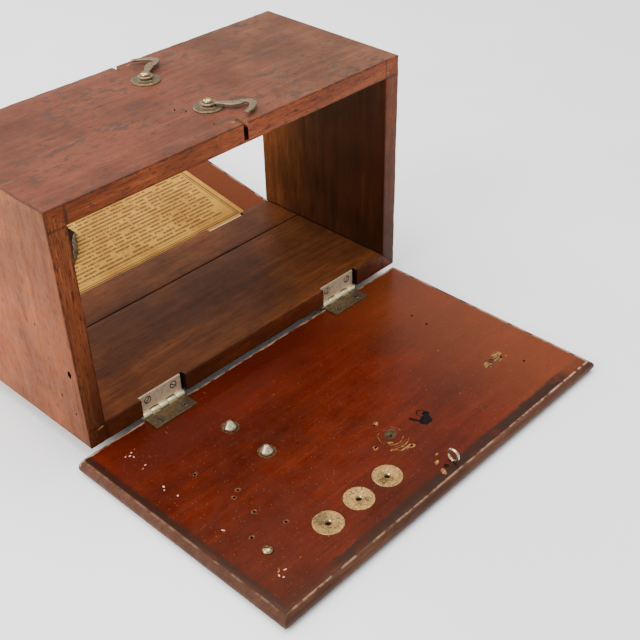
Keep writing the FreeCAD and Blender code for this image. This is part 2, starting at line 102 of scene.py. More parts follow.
def obj_from(name, verts, faces, material=None):
    """Mesh object from points in millimetres, with its faces turned outwards."""
    mesh = bpy.data.meshes.new(name)
    mesh.from_pydata([Vector(v) * MM for v in verts], [], faces)
    skin = bmesh.new()
    skin.from_mesh(mesh)
    bmesh.ops.recalc_face_normals(skin, faces=skin.faces)
    if skin.calc_volume(signed=True) < 0:
        bmesh.ops.reverse_faces(skin, faces=skin.faces)
    skin.to_mesh(mesh)
    skin.free()
    if material:
        mesh.materials.append(material)
    return linked(bpy.data.objects.new(name, mesh))


def join(name, objs):
    """Joins the meshes of several objects that share the origin into one object."""
    verts, faces, slots, owner = [], [], [], []
    for obj in objs:
        mesh, start = obj.data, len(verts)
        local = []
        for material in mesh.materials:
            if material not in slots:
                slots.append(material)
            local.append(slots.index(material))
        verts += [obj.matrix_world @ v.co for v in mesh.vertices]
        for poly in mesh.polygons:
            faces.append([start + i for i in poly.vertices])
            owner.append(local[poly.material_index] if local else 0)
        bpy.data.objects.remove(obj)
    made = bpy.data.meshes.new(name)
    made.from_pydata(verts, [], faces)
    for material in slots:
        made.materials.append(material)
    made.polygons.foreach_set("material_index", owner)
    return linked(bpy.data.objects.new(name, made))


def applied(obj):
    """Applies the object's modifiers to its mesh."""
    bpy.context.view_layer.update()
    shown = obj.evaluated_get(bpy.context.evaluated_depsgraph_get())
    made = bpy.data.meshes.new_from_object(shown)
    old, obj.data = obj.data, made
    obj.modifiers.clear()
    bpy.data.meshes.remove(old)
    return obj


def carve(obj, cutters, solver="EXACT"):
    """Cuts the cutters out of the object; the new faces keep the cutters' materials."""
    tool = join(obj.name + "_tool", cutters)
    cut = obj.modifiers.new("cut", "BOOLEAN")
    cut.solver = solver
    cut.object = tool
    cut.material_mode = "TRANSFER"
    applied(obj)
    bpy.data.objects.remove(tool)
    return obj


def carve_all(obj, cutters):
    """Cuts many cutters out in few steps: those of one step don't touch each other."""
    bpy.context.view_layer.update()
    steps = []
    for cutter in cutters:
        points = [v.co for v in cutter.data.vertices]
        low = [min(p[i] for p in points) for i in range(3)]
        high = [max(p[i] for p in points) for i in range(3)]
        for step in steps:
            if all(any(high[i] < a[i] or low[i] > b[i] for i in range(3)) for _, a, b in step):
                step.append((cutter, low, high))
                break
        else:
            steps.append([(cutter, low, high)])
    for step in steps:
        carve(obj, [cutter for cutter, _, _ in step])
    return obj


def loft(rings, caps=True):
    """Points and faces of a skin over closed rings of equal length."""
    count = len(rings[0])
    verts = [p for ring in rings for p in ring]
    faces = []
    for i in range(len(rings) - 1):
        for j in range(count):
            k = (j + 1) % count
            a, b = i * count, (i + 1) * count
            faces.append([a + j, a + k, b + k, b + j])
    if caps:
        faces.append(list(range(count))[::-1])
        faces.append([(len(rings) - 1) * count + j for j in range(count)])
    return verts, faces


def lathe(name, profile, where, material, segments=48):
    """Turned solid. The profile's (radius, height) points run from the bottom of the axis up."""
    rings, ends = [], []
    for radius, height in profile:
        if radius == 0:
            ends.append((0, 0, height))
            continue
        rings.append([(radius * math.cos(2 * math.pi * j / segments),
                       radius * math.sin(2 * math.pi * j / segments), height)
                      for j in range(segments)])
    verts, faces = loft(rings, caps=False)
    last = (len(rings) - 1) * segments
    for centre, start, flip in zip(ends, (0, last), (True, False)):
        verts.append(centre)
        tip = len(verts) - 1
        for j in range(segments):
            pair = [start + j, start + (j + 1) % segments]
            faces.append([tip, *(pair[::-1] if flip else pair)])
    verts = [Vector(v) + Vector(where) for v in verts]
    return obj_from(name, verts, faces, material)


def ringed(name, profile, where, material, segments=48):
    """Turned ring: the profile is a closed loop that doesn't touch the axis."""
    rings = []
    for j in range(segments):
        a = 2 * math.pi * j / segments
        rings.append([(r * math.cos(a), r * math.sin(a), h) for r, h in profile])
    verts, faces = loft(rings + rings[:1], caps=False)
    count = len(profile)
    top = segments * count
    faces = [[i % top for i in f] for f in faces]
    verts = [Vector(v) + Vector(where) for v in verts[:top]]
    return obj_from(name, verts, faces, material)


def block(name, low, high, material):
    """Cutter with square faces."""
    (a, b, c), (d, e, f) = low, high
    ring = [(a, b), (d, b), (d, e), (a, e)]
    return obj_from(name, *loft([[(x, y, c) for x, y in ring], [(x, y, f) for x, y in ring]]),
                    material)


def stretch(start, end, step, ends=()):
    """Positions from start to end about a step apart, with extra ones near both ends."""
    count = max(2, round((end - start) / step))
    marks = {round(start + (end - start) * i / count, 4) for i in range(count + 1)}
    for extra in ends:
        marks |= {round(start + extra, 4), round(end - extra, 4)}
    return sorted(marks)


def ease(x, low, high):
    """0 below low, 1 above high, smooth between."""
    t = min(1.0, max(0.0, (x - low) / (high - low)))
    return t * t * (3 - 2 * t)


# ---------------------------------------------------------------- node helpers
def along(axis, lengthwise, across):
    """Scale of a texture that is stretched along one axis."""
    return tuple(lengthwise if i == axis else across for i in range(3))


def math_node(operation, swapped=False):
    """Method of a Value that adds a math node for the operation."""
    def apply(value, other=None):
        return value.graph.op(operation, *((other, value) if swapped else (value, other)))
    return apply


class Value:
    """Output of a shader node. Arithmetic with it adds math nodes to its graph."""

    def __init__(self, graph, socket):
        self.graph, self.socket = graph, socket

    __add__, __radd__ = math_node("ADD"), math_node("ADD", True)
    __sub__, __rsub__ = math_node("SUBTRACT"), math_node("SUBTRACT", True)
    __mul__, __rmul__ = math_node("MULTIPLY"), math_node("MULTIPLY", True)
    __truediv__, __abs__ = math_node("DIVIDE"), math_node("ABSOLUTE")


class Graph:
    """Shader nodes of one material, added by short calls that return a Value.

    x, y and z are the point's place in millimetres; a risen material sees the rear flap lying."""

    def __init__(self, name, risen=False):
        self.material = bpy.data.materials.new(name)
        self.material.use_nodes = True
        self.tree = self.material.node_tree
        self.tree.nodes.clear()
        self.shader = self.tree.nodes.new("ShaderNodeBsdfPrincipled")
        out = self.tree.nodes.new("ShaderNodeOutputMaterial")
        self.tree.links.new(self.shader.outputs["BSDF"], out.inputs["Surface"])
        self.place = self.node("VectorMath", {0: self.node("TexCoord", {}, "Object"),
                                              1: (1 / MM,) * 3}, operation="MULTIPLY")
        if risen:
            back = HINGE_LINE - Matrix.Rotation(-REAR_RISE, 3, "X") @ HINGE_LINE
            self.place = self.scaled(1, 1, 1, back, (-REAR_RISE, 0, 0))
        self.x, self.y, self.z = (self.node("SeparateXYZ", {0: self.place}, axis)
                                  for axis in "XYZ")

    def feed(self, socket, value):
        if isinstance(value, Value):
            self.tree.links.new(value.socket, socket)
        elif value is not None:
            socket.default_value = value

    def node(self, kind, inputs, output=0, **settings):
        """Adds a node. Its inputs and its output go by name or by number."""
        made = self.tree.nodes.new("ShaderNode" + kind)
        for key, value in settings.items():
            setattr(made, key, value)
        for key, value in inputs.items():
            self.feed(made.inputs[key], value)
        return Value(self, made.outputs[output])

    def op(self, operation, *inputs, clamp=False):
        return self.node("Math", dict(enumerate(inputs)), operation=operation, use_clamp=clamp)

    def least(self, a, b):
        return self.op("MINIMUM", a, b)

    def most(self, a, b):
        return self.op("MAXIMUM", a, b)

    def combined(self, x, y, z=0.0):
        return self.node("CombineXYZ", {0: x, 1: y, 2: z})

    def scaled(self, sx, sy, sz, shift=(0, 0, 0), turn=(0, 0, 0)):
        return self.node("Mapping", {"Vector": self.place, "Scale": (sx, sy, sz),
                                     "Location": shift, "Rotation": turn})

    def even(self, scale, shift=(0, 0, 0)):
        return self.scaled(scale, scale, scale, shift)

    def grain(self, axis, lengthwise, across, shift):
        return self.scaled(*along(axis, lengthwise, across), shift)

    def noise(self, vector, detail=4, rough=0.55, warp=0.0, scale=1.0):
        return self.node("TexNoise", {"Vector": vector, "Scale": scale, "Detail": detail,
                                      "Roughness": rough, "Distortion": warp})

    def cells(self, vector):
        return self.node("TexVoronoi", {"Vector": vector, "Scale": 1.0})

    def ramp(self, value, low, high, to_low=0.0, to_high=1.0):
        return self.node("MapRange", {"Value": value, "From Min": low, "From Max": high,
                                      "To Min": to_low, "To Max": to_high},
                         interpolation_type="SMOOTHSTEP")

    def fall(self, value, low, high):
        """1 below low, 0 above high, smooth between."""
        return self.ramp(value, low, high, 1.0, 0.0)

    def mix(self, factor, a, b, blend="MIX"):
        """Mixes two colours, each a Value or three numbers."""
        a, b = (color if isinstance(color, Value) else (*color, 1.0) for color in (a, b))
        return self.node("Mix", {0: factor, 6: a, 7: b}, 2, data_type="RGBA", blend_type=blend,
                         clamp_factor=True)

    def tint(self, color, by):
        return self.mix(1.0, color, by, "MULTIPLY")

    def bump(self, height, distance, strength=1.0, below=None):
        """Relief of the given depth in millimetres; below is the relief that it lies on."""
        return self.node("Bump", {"Strength": strength, "Distance": distance * MM,
                                  "Height": height, "Normal": below})

    def finish(self, color, roughness, normal=None, metallic=0.0, **others):
        """Feeds the shader. An underscore in the name of an input stands for a space."""
        inputs = dict(Base_Color=color, Roughness=roughness, Normal=normal, Metallic=metallic)
        for key, value in {**inputs, **others}.items():
            self.feed(self.shader.inputs[key.replace("_", " ")], value)
        return self.material


def edge_distance(g, half_x, half_y, z_low, z_high):
    """Distance from a point on a box's skin to the box's nearest arris."""
    dx = half_x - abs(g.x)
    dy = half_y - abs(g.y)
    dz = g.least(z_high - g.z, g.z - z_low)
    dx, dy, dz = (abs(d) for d in (dx, dy, dz))
    small, large = (g.least(dx, dy), g.most(dx, dy))
    return g.most(small, g.least(large, dz))


def wood_figure(g, axis, shift, pore=0.5, blotch=0.35):
    """Mahogany figure: ribbons, fibres, short dark pores and longer dark flecks.

    Returns the figure from 0 to 1, the shade to multiply a colour with, relief and flecks."""
    ribbon = g.noise(g.grain(axis, 0.012, 0.16, shift), 4, 0.6, 0.6)
    fibre = g.noise(g.grain(axis, 0.05, 1.5, shift), 5, 0.65, 0.3)
    strand = g.noise(g.grain(axis, 0.10, 3.4, shift), 3, 0.6)
    cloud = g.noise(g.even(0.018, shift), 3, 0.5)
    pores = g.noise(g.grain(axis, 0.30, 3.2, shift), 2, 0.5)
    pores = g.ramp(pores, 0.60, 0.70)
    figure = ribbon * 0.5 + fibre * 0.35
    figure = figure + strand * 0.15
    shade = g.ramp(cloud, 0.35, 0.65, 1.0 - blotch, 1.0 + blotch * 0.3)
    shade = shade * (1.0 - pores * pore)
    relief = fibre - pores * 0.8
    flecks = g.ramp(g.noise(g.grain(axis, 0.12, 1.1, shift), 3, 0.6), 0.55, 0.64)
    return figure, shade, relief, flecks


def toned(g, figure, tones):
    """Colour of the figure in the given dark, middle and light tones."""
    dark, mid, light = tones
    color = g.mix(g.ramp(figure, 0.34, 0.50), dark, mid)
    return g.mix(g.ramp(figure, 0.50, 0.66), color, light)


def shaded(g, value):
    """Grey of the given value, to multiply a colour with."""
    return g.node("CombineColor", {channel: value for channel in range(3)})


def specks(g, size, share, shift=(0, 0, 0), stretch_by=(1, 1, 1)):
    """Scattered small spots about size across, in the given share of the cells."""
    scale = tuple(s / (4 * size) for s in stretch_by)
    vector = g.scaled(*scale, shift=shift)
    spot = g.fall(g.cells(vector), 0.10, 0.22)
    pick = g.noise(g.scaled(*(s * 0.9 for s in scale), shift=shift), 0)
    return spot * g.ramp(pick, 0.62 - share, 0.66 - share)


# ---------------------------------------------------------------- materials
FLAP_TONES = ((0.047, 0.0034, 0.0004), (0.067, 0.0054, 0.0006), (0.100, 0.0104, 0.0010))
NOSE_TONES = ((0.034, 0.0120, 0.0068), (0.064, 0.0248, 0.0145), (0.118, 0.050, 0.031))
TOP_TONES = ((0.082, 0.0215, 0.0105), (0.113, 0.032, 0.0163), (0.155, 0.048, 0.026))
SIDE_TONES = ((0.17, 0.038, 0.0090), (0.265, 0.066, 0.0150), (0.37, 0.107, 0.027))
EDGE_TONES = ((0.105, 0.019, 0.006), (0.220, 0.048, 0.0145), (0.38, 0.100, 0.029))
INNER_TONES = ((0.068, 0.018, 0.0048), (0.140, 0.040, 0.0105), (0.240, 0.076, 0.021))
# Inner face of the right wall: dark wood with painted shade in its tones.
WALL_TONES_IN_SHADE = ((0.024, 0.0068, 0.0018), (0.056, 0.0160, 0.0042), (0.104, 0.032, 0.0085))
WARM_GLOSS = (1.0, 0.62, 0.42, 1.0)


def faded(g, color, fades):
    """Tints a colour gradually: each fade is an axis, its start, its end and the tint reached."""
    for axis, start, end, tint in fades:
        amount = g.ramp({"x": g.x, "y": g.y, "z": g.z}[axis], min(start, end), max(start, end),
                        float(start > end), float(start < end))
        color = g.mix(amount, color, g.tint(color, tint))
    return color


def case_wood(name, axis, shift, outer, inner, edge, stain=0.5, dot=0.4, inside=(), outside=(),
              gloss=0.2, blots=0.0):
    """Varnished board with its own tones outside, inside and on its front and rear edges.

    It gets darker downwards, and the edges most. inside and outside are the fades of those
    two faces; blots is the strength of the large dark stains outside."""
    g = Graph(name)
    figure, shade, relief, flecks = wood_figure(g, axis, shift)
    rub = g.noise(g.even(0.12, shift), 5, 0.65)
    to_outside = g.least(HALF_LEN - abs(g.x), g.least(CASE_TOP - g.z, g.z - CASE_LOW))
    to_front = HALF_DEP - abs(g.y)
    color = g.mix(g.fall(to_outside, 0.4, 0.9),
                  faded(g, toned(g, figure, inner), inside),
                  faded(g, toned(g, figure, outer), outside))
    # The front and rear edges get darker towards the bottom.
    darkening = shaded(g, g.ramp(g.z, CASE_LOW + 10, CASE_LOW + 120, 0.62, 1.0))
    on_edge = g.fall(to_front, 0.2, 0.7)
    color = g.mix(on_edge, color, g.tint(toned(g, figure, edge), darkening))
    color = g.tint(color, shaded(g, shade))
    depth = g.ramp(on_edge, 0.0, 1.0, 0.50, 0.78)
    color = g.mix(flecks * depth, color, (0.03, 0.01, 0.006))
    if blots:
        blot = g.noise(g.scaled(0.10, 0.17, 0.17, shift=shift), 4, 0.6)
        where = g.noise(g.scaled(0.022, 0.03, 0.03, shift=(5, 2, 9)), 2, 0.5)
        where = where + g.ramp(g.y, -HALF_DEP, -HALF_DEP + 40, 0.1, 0.0)
        blot = g.ramp(blot, 0.545, 0.6) * g.ramp(where, 0.41, 0.54)
        blot = blot * g.ramp(to_outside, 0.4, 0.9, blots, 0.0)
        color = g.mix(blot, color, (0.050, 0.026, 0.018))
    foot = shaded(g, g.ramp(g.z, CASE_LOW, CASE_LOW + 120, 0.72, 1.0))
    color = g.tint(color, foot)
    arris = edge_distance(g, HALF_LEN, HALF_DEP, CASE_LOW, CASE_TOP)
    inner_arris = edge_distance(g, HALF_LEN - WALL, HALF_DEP, FLOOR_TOP, CASE_TOP - WALL)
    arris = g.least(arris, inner_arris) + (rub - 0.5) * 5.0
    worn = g.fall(arris, 0.2, 1.5)
    color = g.mix(worn * 0.7, color, (0.026, 0.009, 0.005))
    stains = specks(g, 1.6, 0.08, shift, along(axis, 0.5, 1.0))
    dots = specks(g, 0.55, 0.10, shift, along(axis, 0.35, 1.0))
    spots = g.op("ADD", stains * stain, dots * dot, clamp=True)
    color = g.mix(spots, color, (0.03, 0.012, 0.008))
    roughness = g.ramp(rub, 0.3, 0.7, 0.40, 0.55)
    normal = g.bump(relief, 0.05, 0.3)
    normal = g.bump(spots, -0.1, 0.4, normal)
    return g.finish(color, roughness, normal, Specular_IOR_Level=gloss, Specular_Tint=WARM_GLOSS)


def flap_wood(name, side):
    """Flap: glossy red-brown varnish inside, a dark rubbed margin and a paler moulded edge."""
    g = Graph(name, side == REAR)
    shift = (3.0, 11.0 * side, 5.0)
    figure, shade, relief, flecks = wood_figure(g, 0, shift, 0.25, 0.34)
    shade = shade * g.ramp(flecks, 0, 1, 1.0, 0.74)
    color = g.tint(toned(g, figure, FLAP_TONES), shaded(g, shade))
    if side == REAR:
        color = g.tint(color, (0.54, 0.56, 0.66))
    reach = g.y * float(side)
    # Painted shade: the flap gets darker towards the hinge, where the case's shadow falls.
    hinge = g.fall(reach, FLAP_NEAR, FLAP_NEAR + 70)
    color = g.mix(hinge * 0.45, color, (0.1, 0.01, 0.0035))
    right = g.ramp(g.x, 20, 150)
    color = g.mix(right * 0.5, color, (0.165, 0.042, 0.012))
    low, high = extent(f"{WORD[side]}_flap")
    radius = FLAP_THK / 2
    rub = g.noise(g.even(0.09, shift), 5, 0.6)
    sway = (rub - 0.5) * 7.0
    to_left = g.x - (low.x + radius)
    to_right = high.x - radius - g.x
    to_far = FLAP_FAR - radius - reach
    inside = g.least(g.least(to_left, to_right), to_far)
    along_far = g.ramp(g.x, -128, -104, 0.35, 1.0) * g.ramp(g.x, 118, 134, 1.0, 0.25)
    left_band = g.ramp(to_left + sway, 3.0, 6.6, 0.92, 0.0)
    far_band = g.fall(to_far + sway, 5.6, 8.8)
    band = g.most(left_band, far_band * along_far)
    band = band * g.ramp(rub, 0.3, 0.5, 0.55, 1.0)
    color = g.mix(band, color, (0.017, 0.0065, 0.0042))
    nose = g.fall(inside, -0.25, 0.15)
    raw = g.tint(toned(g, figure, NOSE_TONES), shaded(g, shade))
    # Painted shade on the lower half of the moulded edge, which faces down.
    raw = g.mix(g.ramp(g.z, 0.5, 3.5, 0.6, 0.0), raw, (0.03, 0.010, 0.006))
    arris = g.fall(abs(inside + 0.6), 0.3, 1.3)
    arris = arris * g.ramp(rub, 0.42, 0.56) * g.ramp(g.x, 60, 110, 0.55, 1.0)
    arris = arris * g.ramp(to_left, 3, 9, 0.4, 1.0)
    raw = g.mix(arris * 0.8, raw, (0.42, 0.24, 0.15))
    color = g.mix(nose, color, raw)
    fray = g.noise(g.scaled(0.16, 0.5, 0.5, shift=shift), 5, 0.7)
    hinge_edge = reach - FLAP_NEAR - fray * 5.0
    frayed = g.fall(hinge_edge, -1.6, -0.9)
    color = g.mix(frayed, color, g.mix(g.ramp(fray, 0.4, 0.6), (0.10, 0.045, 0.022),
                                       (0.36, 0.24, 0.14)))
    chips = specks(g, 0.35, 0.012, shift) * g.ramp(band, 0, 0.5, 1.0, 0.2)
    color = g.mix(chips * 0.5, color, (0.4, 0.17, 0.08))
    dents = specks(g, 0.7, 0.05, (9.0, 2.0, 4.0), (0.5, 1, 1))
    color = g.mix(dents * 0.6, color, (0.02, 0.006, 0.003))
    roughness = g.mix(g.most(nose, frayed), shaded(g, g.ramp(rub, 0.3, 0.7, 0.26, 0.38)),
                      shaded(g, 0.55))
    normal = g.bump(relief, 0.035, 0.3)
    normal = g.bump(chips, -0.08, 0.5, normal)
    return g.finish(color, roughness, normal, Specular_IOR_Level=0.22 if side == FRONT else 0.12,
                    Specular_Tint=WARM_GLOSS)


def raw_wood(name, pale, deep):
    """Broken wood without varnish."""
    g = Graph(name)
    splinter = g.noise(g.scaled(0.22, 0.75, 0.75), 5, 0.7, 0.5)
    color = g.mix(g.ramp(splinter, 0.42, 0.58), deep, pale)
    return g.finish(color, 0.85, g.bump(splinter, 0.3, 0.6), Specular_IOR_Level=0.03)


def old_brass(name, bright, dull, dirt, rough=(0.30, 0.5), darkening=0.5, seed=0.0, metal=0.8,
              knuckles=None, risen=False):
    """Aged brass: mottled tarnish, dirt in patches, fine scratches. Knuckles are rubbed bright and
    carry a painted highlight.
    """
    g = Graph(name, risen)
    shift = (seed, seed * 2, seed * 3)
    mottle = g.noise(g.even(0.35, shift), 5, 0.6)
    fine = g.noise(g.even(1.4, shift), 4, 0.65)
    lines = g.noise(g.scaled(0.25, 2.6, 2.6, shift=shift, turn=(0.3, 0.4, 0.5)), 3, 0.6)
    color = g.mix(g.ramp(mottle, 0.35, 0.65), bright, dull)
    patches = g.ramp(mottle * fine, 0.24, 0.36) * darkening
    color = g.mix(patches, color, dirt)
    roughness = g.ramp(mottle, 0.3, 0.7, *rough) + patches * 0.3
    if knuckles:
        dy = abs(g.y) - PIVOT_Y
        dz = g.z - PIVOT_Z
        away = g.op("SQRT", dy * dy + dz * dz)
        # Brighter knuckles: rubbed polish together with a painted highlight of their curve.
        rubbed_and_highlit_part = g.fall(away, 2.25, 2.6)
        color = g.mix(rubbed_and_highlit_part, color, knuckles)
        roughness = roughness - rubbed_and_highlit_part * 0.12
    relief = fine * 0.6 + lines * 0.4
    return g.finish(color, roughness, g.bump(relief, 0.025, 0.15), metal)


def pitted_brass(name, seed, wear, smudge):
    """Disc metal: tan tarnish of the given shade, dark pits in clusters and one dark smudge."""
    g = Graph(name)
    shift = (seed, seed, seed)
    mottle = g.noise(g.even(0.30, shift), 4, 0.6)
    grit = g.noise(g.even(2.2, shift), 4, 0.7)
    (x, y), reach = smudge
    dx, dy = g.x - x, g.y - y
    away = g.op("SQRT", dx * dx + dy * dy) + (mottle - 0.5) * reach
    crowd = (g.ramp(away, reach * 0.4, reach * 1.3, 0.13, 0.0)
             + g.ramp(mottle, 0.35, 0.60, 0.0, 0.05))
    small = g.noise(g.even(1.15, shift), 2, 0.5)
    large = g.noise(g.even(0.55, shift), 3, 0.6)
    pits = g.most(g.ramp(small + crowd, 0.585, 0.645), g.ramp(large + crowd, 0.62, 0.67))
    color = g.mix(g.ramp(mottle, 0.35, 0.65), (0.235, 0.128, 0.037), (0.40, 0.230, 0.072))
    color = g.tint(color, (wear, wear, wear))
    color = g.mix(pits * 0.8, color, (0.04, 0.024, 0.01))
    normal = g.bump(pits, -0.08, 0.5, g.bump(grit, 0.02, 0.2))
    return g.finish(color, g.ramp(grit, 0.3, 0.7, 0.42, 0.62), normal, 0.6)


def dark_iron(name):
    """Rusty iron, and the dirt in screw slots."""
    g = Graph(name)
    grit = g.noise(g.even(3.0), 4, 0.7)
    color = g.mix(g.ramp(grit, 0.35, 0.65), (0.05, 0.035, 0.03), (0.16, 0.12, 0.10))
    return g.finish(color, g.ramp(grit, 0.3, 0.7, 0.4, 0.7), g.bump(grit, 0.04, 0.5), 0.9)


def printed_paper(name, low, high):
    """Yellowed paper with rows of generic print inside a double border line."""
    g = Graph(name, True)
    mottle = g.noise(g.even(0.03), 5, 0.6)
    fibre = g.noise(g.even(0.8), 5, 0.7)
    color = g.mix(g.ramp(mottle, 0.35, 0.65), (0.31, 0.135, 0.016), (0.42, 0.215, 0.030))
    color = g.mix(g.ramp(fibre, 0.5, 0.7) * 0.3, color, (0.24, 0.1, 0.018))
    pitch, left, right, foot = 4.3, low.x + 3, high.x - 11, low.y + 11
    row = (high.y - 5 - g.y) / pitch
    number = g.op("FLOOR", row)
    inside = g.op("FRACT", row)
    body = g.ramp(inside, 0.2, 0.32) * g.fall(inside, 0.7, 0.82)
    strokes = g.noise(g.combined(g.x * 1.0, number * 7.31, inside * 1.3), 1, 0.6)
    strokes = g.ramp(strokes, 0.34, 0.42)
    words = g.combined(g.x * 0.16, number * 3.77)
    gaps = g.ramp(g.noise(words, 0), 0.34, 0.38)
    end = g.noise(words, 0, scale=0.02) * 40
    end = g.fall(g.x - end, right - 24, right - 23)
    ink = body * strokes * (gaps * end)
    ink = ink * g.ramp(g.x, left, left + 1) * g.ramp(g.y, foot, foot + 0.5)
    for position, edge, half in ((g.x, high.x - 5.0, 0.60), (g.x, high.x - 7.2, 0.28),
                                 (g.y, low.y + 5.6, 0.60), (g.y, low.y + 7.8, 0.28)):
        off = abs(position - edge)
        ink = g.most(ink, g.fall(off, half, half + 0.35))
    framed = g.fall(g.x, high.x - 4.3, high.x - 4.0) * g.ramp(g.y, low.y + 4.6, low.y + 4.9)
    ink = ink * framed * g.ramp(fibre, 0.3, 0.6, 1.0, 0.75)
    color = g.mix(ink * 0.92, color, (0.035, 0.014, 0.005))
    normal = g.bump(fibre + mottle * 2.0, 0.1, 0.4)
    return g.finish(color, 0.75, normal, Specular_IOR_Level=0.2)


def paper_underside_in_shade(name):
    """Grey-green underside of the old paper with dark stains, darkened further as painted shade."""
    g = Graph(name, True)
    stain = g.noise(g.even(0.3), 4, 0.6)
    color = g.mix(g.ramp(stain, 0.35, 0.65), (0.055, 0.040, 0.020), (0.15, 0.118, 0.066))
    return g.finish(color, 0.8, g.bump(stain, 0.1, 0.4), Specular_IOR_Level=0.2)


def kerf_wood(name):
    """Bare wood of the saw slots: rubbed pale at the top, and darker further down with painted
    shade.
    """
    g = Graph(name)
    grain = g.noise(g.scaled(0.3, 1.6, 1.6), 4, 0.65)
    pale = g.mix(g.ramp(grain, 0.35, 0.65), (0.12, 0.045, 0.020), (0.30, 0.13, 0.060))
    # Painted shade: the slot gets darker with depth.
    shade_depth = CASE_TOP - (g.z + grain * 2.0)
    color = g.mix(g.ramp(shade_depth, 1.2, 3.6), pale, (0.012, 0.006, 0.004))
    return g.finish(color, 0.8, g.bump(grain, 0.15, 0.5), Specular_IOR_Level=0.05)


RIGHT_EDGE_TONES = tuple(tuple(v * 0.62 for v in tone) for tone in EDGE_TONES)
LEFT_EDGE_TONES = tuple((r * 1.08, g * 1.34, b * 1.65) for r, g, b in EDGE_TONES)
board_mats = {
    "top": case_wood("mahogany_top", 0, (0, 0, 0), TOP_TONES, INNER_TONES, EDGE_TONES,
                     outside=(("x", -90, -146, (1.25, 1.25, 1.25)),
                              ("x", 0, 110, (1.02, 1.30, 1.16))), blots=0.8),
    "left": case_wood("mahogany_left", 2, (7, 3, 1), SIDE_TONES, INNER_TONES, LEFT_EDGE_TONES,
                      outside=(("z", 120, 185, (0.78, 0.90, 1.25)),), gloss=0.1),
    # The right wall's inner face has painted shade towards the front opening and painted light
    # towards the rear opening.
    "right": case_wood("mahogany_right", 2, (17, 9, 4), SIDE_TONES, WALL_TONES_IN_SHADE, RIGHT_EDGE_TONES,
                       inside=(("y", -16, -76, (0.85, 0.65, 0.50)), ("y", 5, 66, (2.7, 2.8, 3.2)))),
    "floor": case_wood("mahogany_floor", 0, (31, 5, 8), INNER_TONES, INNER_TONES, EDGE_TONES, 0.2,
                       0.3, inside=(("x", -30, -120, (1.7, 1.45, 1.0)),)),
}
front_wood = flap_wood("mahogany_front_flap", FRONT)
rear_wood = flap_wood("mahogany_rear_flap", REAR)
# Woods of the damage, by kind: name of the material, pale and deep tone.
MARK_WOODS = {kind: raw_wood(name, pale, deep) for kind, name, pale, deep in (
    ("pale", "raw_wood", (0.36, 0.165, 0.060), (0.10, 0.034, 0.011)),
    ("grey", "grey_wood", (0.12, 0.066, 0.030), (0.035, 0.018, 0.010)),
    ("worn", "worn_wood", (0.27, 0.130, 0.050), (0.055, 0.020, 0.008)),
    ("halo", "halo_wood", (0.150, 0.062, 0.026), (0.060, 0.022, 0.010)),
    ("white", "flaked_wood", (0.80, 0.60, 0.52), (0.42, 0.24, 0.18)),
    ("olive", "olive_wood", (0.070, 0.048, 0.024), (0.030, 0.020, 0.010)),
    ("dark", "dark_hole", (0.020, 0.009, 0.005), (0.005, 0.003, 0.002)),
    ("burnt", "burnt_wood", (0.010, 0.008, 0.008), (0.003, 0.003, 0.003)))}
# The dark kind is near-black wood: inside the holes, the leaves' pockets and the discs' seats it is
# painted shade of their depth; on the shallow marks it is their own dark colour.
dark_wood = MARK_WOODS["dark"]
slot_wood = kerf_wood("kerf_wood")
# Colour of the knuckles: rubbed polish and a painted highlight.
KNUCKLE_POLISH_AND_HIGHLIGHT = (0.72, 0.62, 0.38)
leaf_brass = old_brass("leaf_brass", (0.70, 0.545, 0.375), (0.58, 0.44, 0.30), (0.22, 0.15, 0.09),
                       darkening=0.25, metal=0.55, knuckles=KNUCKLE_POLISH_AND_HIGHLIGHT)
DULL_TONES = ((0.21, 0.150, 0.082), (0.135, 0.096, 0.050), (0.05, 0.035, 0.02))
dull_brass = old_brass("dull_brass", *DULL_TONES, seed=4.0, knuckles=KNUCKLE_POLISH_AND_HIGHLIGHT)
rear_brass = old_brass("rear_brass", *DULL_TONES, seed=6.0, risen=True)
hook_brass = old_brass("hook_brass", (0.215, 0.150, 0.080), (0.150, 0.103, 0.052),
                       (0.07, 0.05, 0.025), seed=8.0, metal=0.6)
bright_brass = old_brass("bright_brass", (0.66, 0.57, 0.41), (0.47, 0.39, 0.26),
                         (0.12, 0.09, 0.05), (0.18, 0.32), 0.35, 12.0, 1.0)
rose_brass = old_brass("rose_brass", (0.140, 0.095, 0.044), (0.095, 0.062, 0.027),
                       (0.035, 0.024, 0.012), seed=9.0, metal=0.6)
rivet_brass = old_brass("rivet_brass", (0.46, 0.34, 0.17), (0.26, 0.18, 0.085),
                        (0.10, 0.07, 0.035), (0.20, 0.34), 0.3, 14.0, 1.0)
stud_brass = old_brass("stud_brass", (0.80, 0.70, 0.48), (0.50, 0.41, 0.26),
                       (0.16, 0.12, 0.07), (0.22, 0.34), 0.3, 17.0, 1.0)
# The flange is tarnished brass, darkened further as painted shade round the cone's foot.
flange_tarnish_and_shade = old_brass("flange_tarnish_and_shade", (0.085, 0.062, 0.034), (0.055, 0.038, 0.020),
                         (0.025, 0.016, 0.008), seed=21.0, metal=0.6)
iron = dark_iron("dark_iron")
dark_slot = dark_iron("slot_dirt")


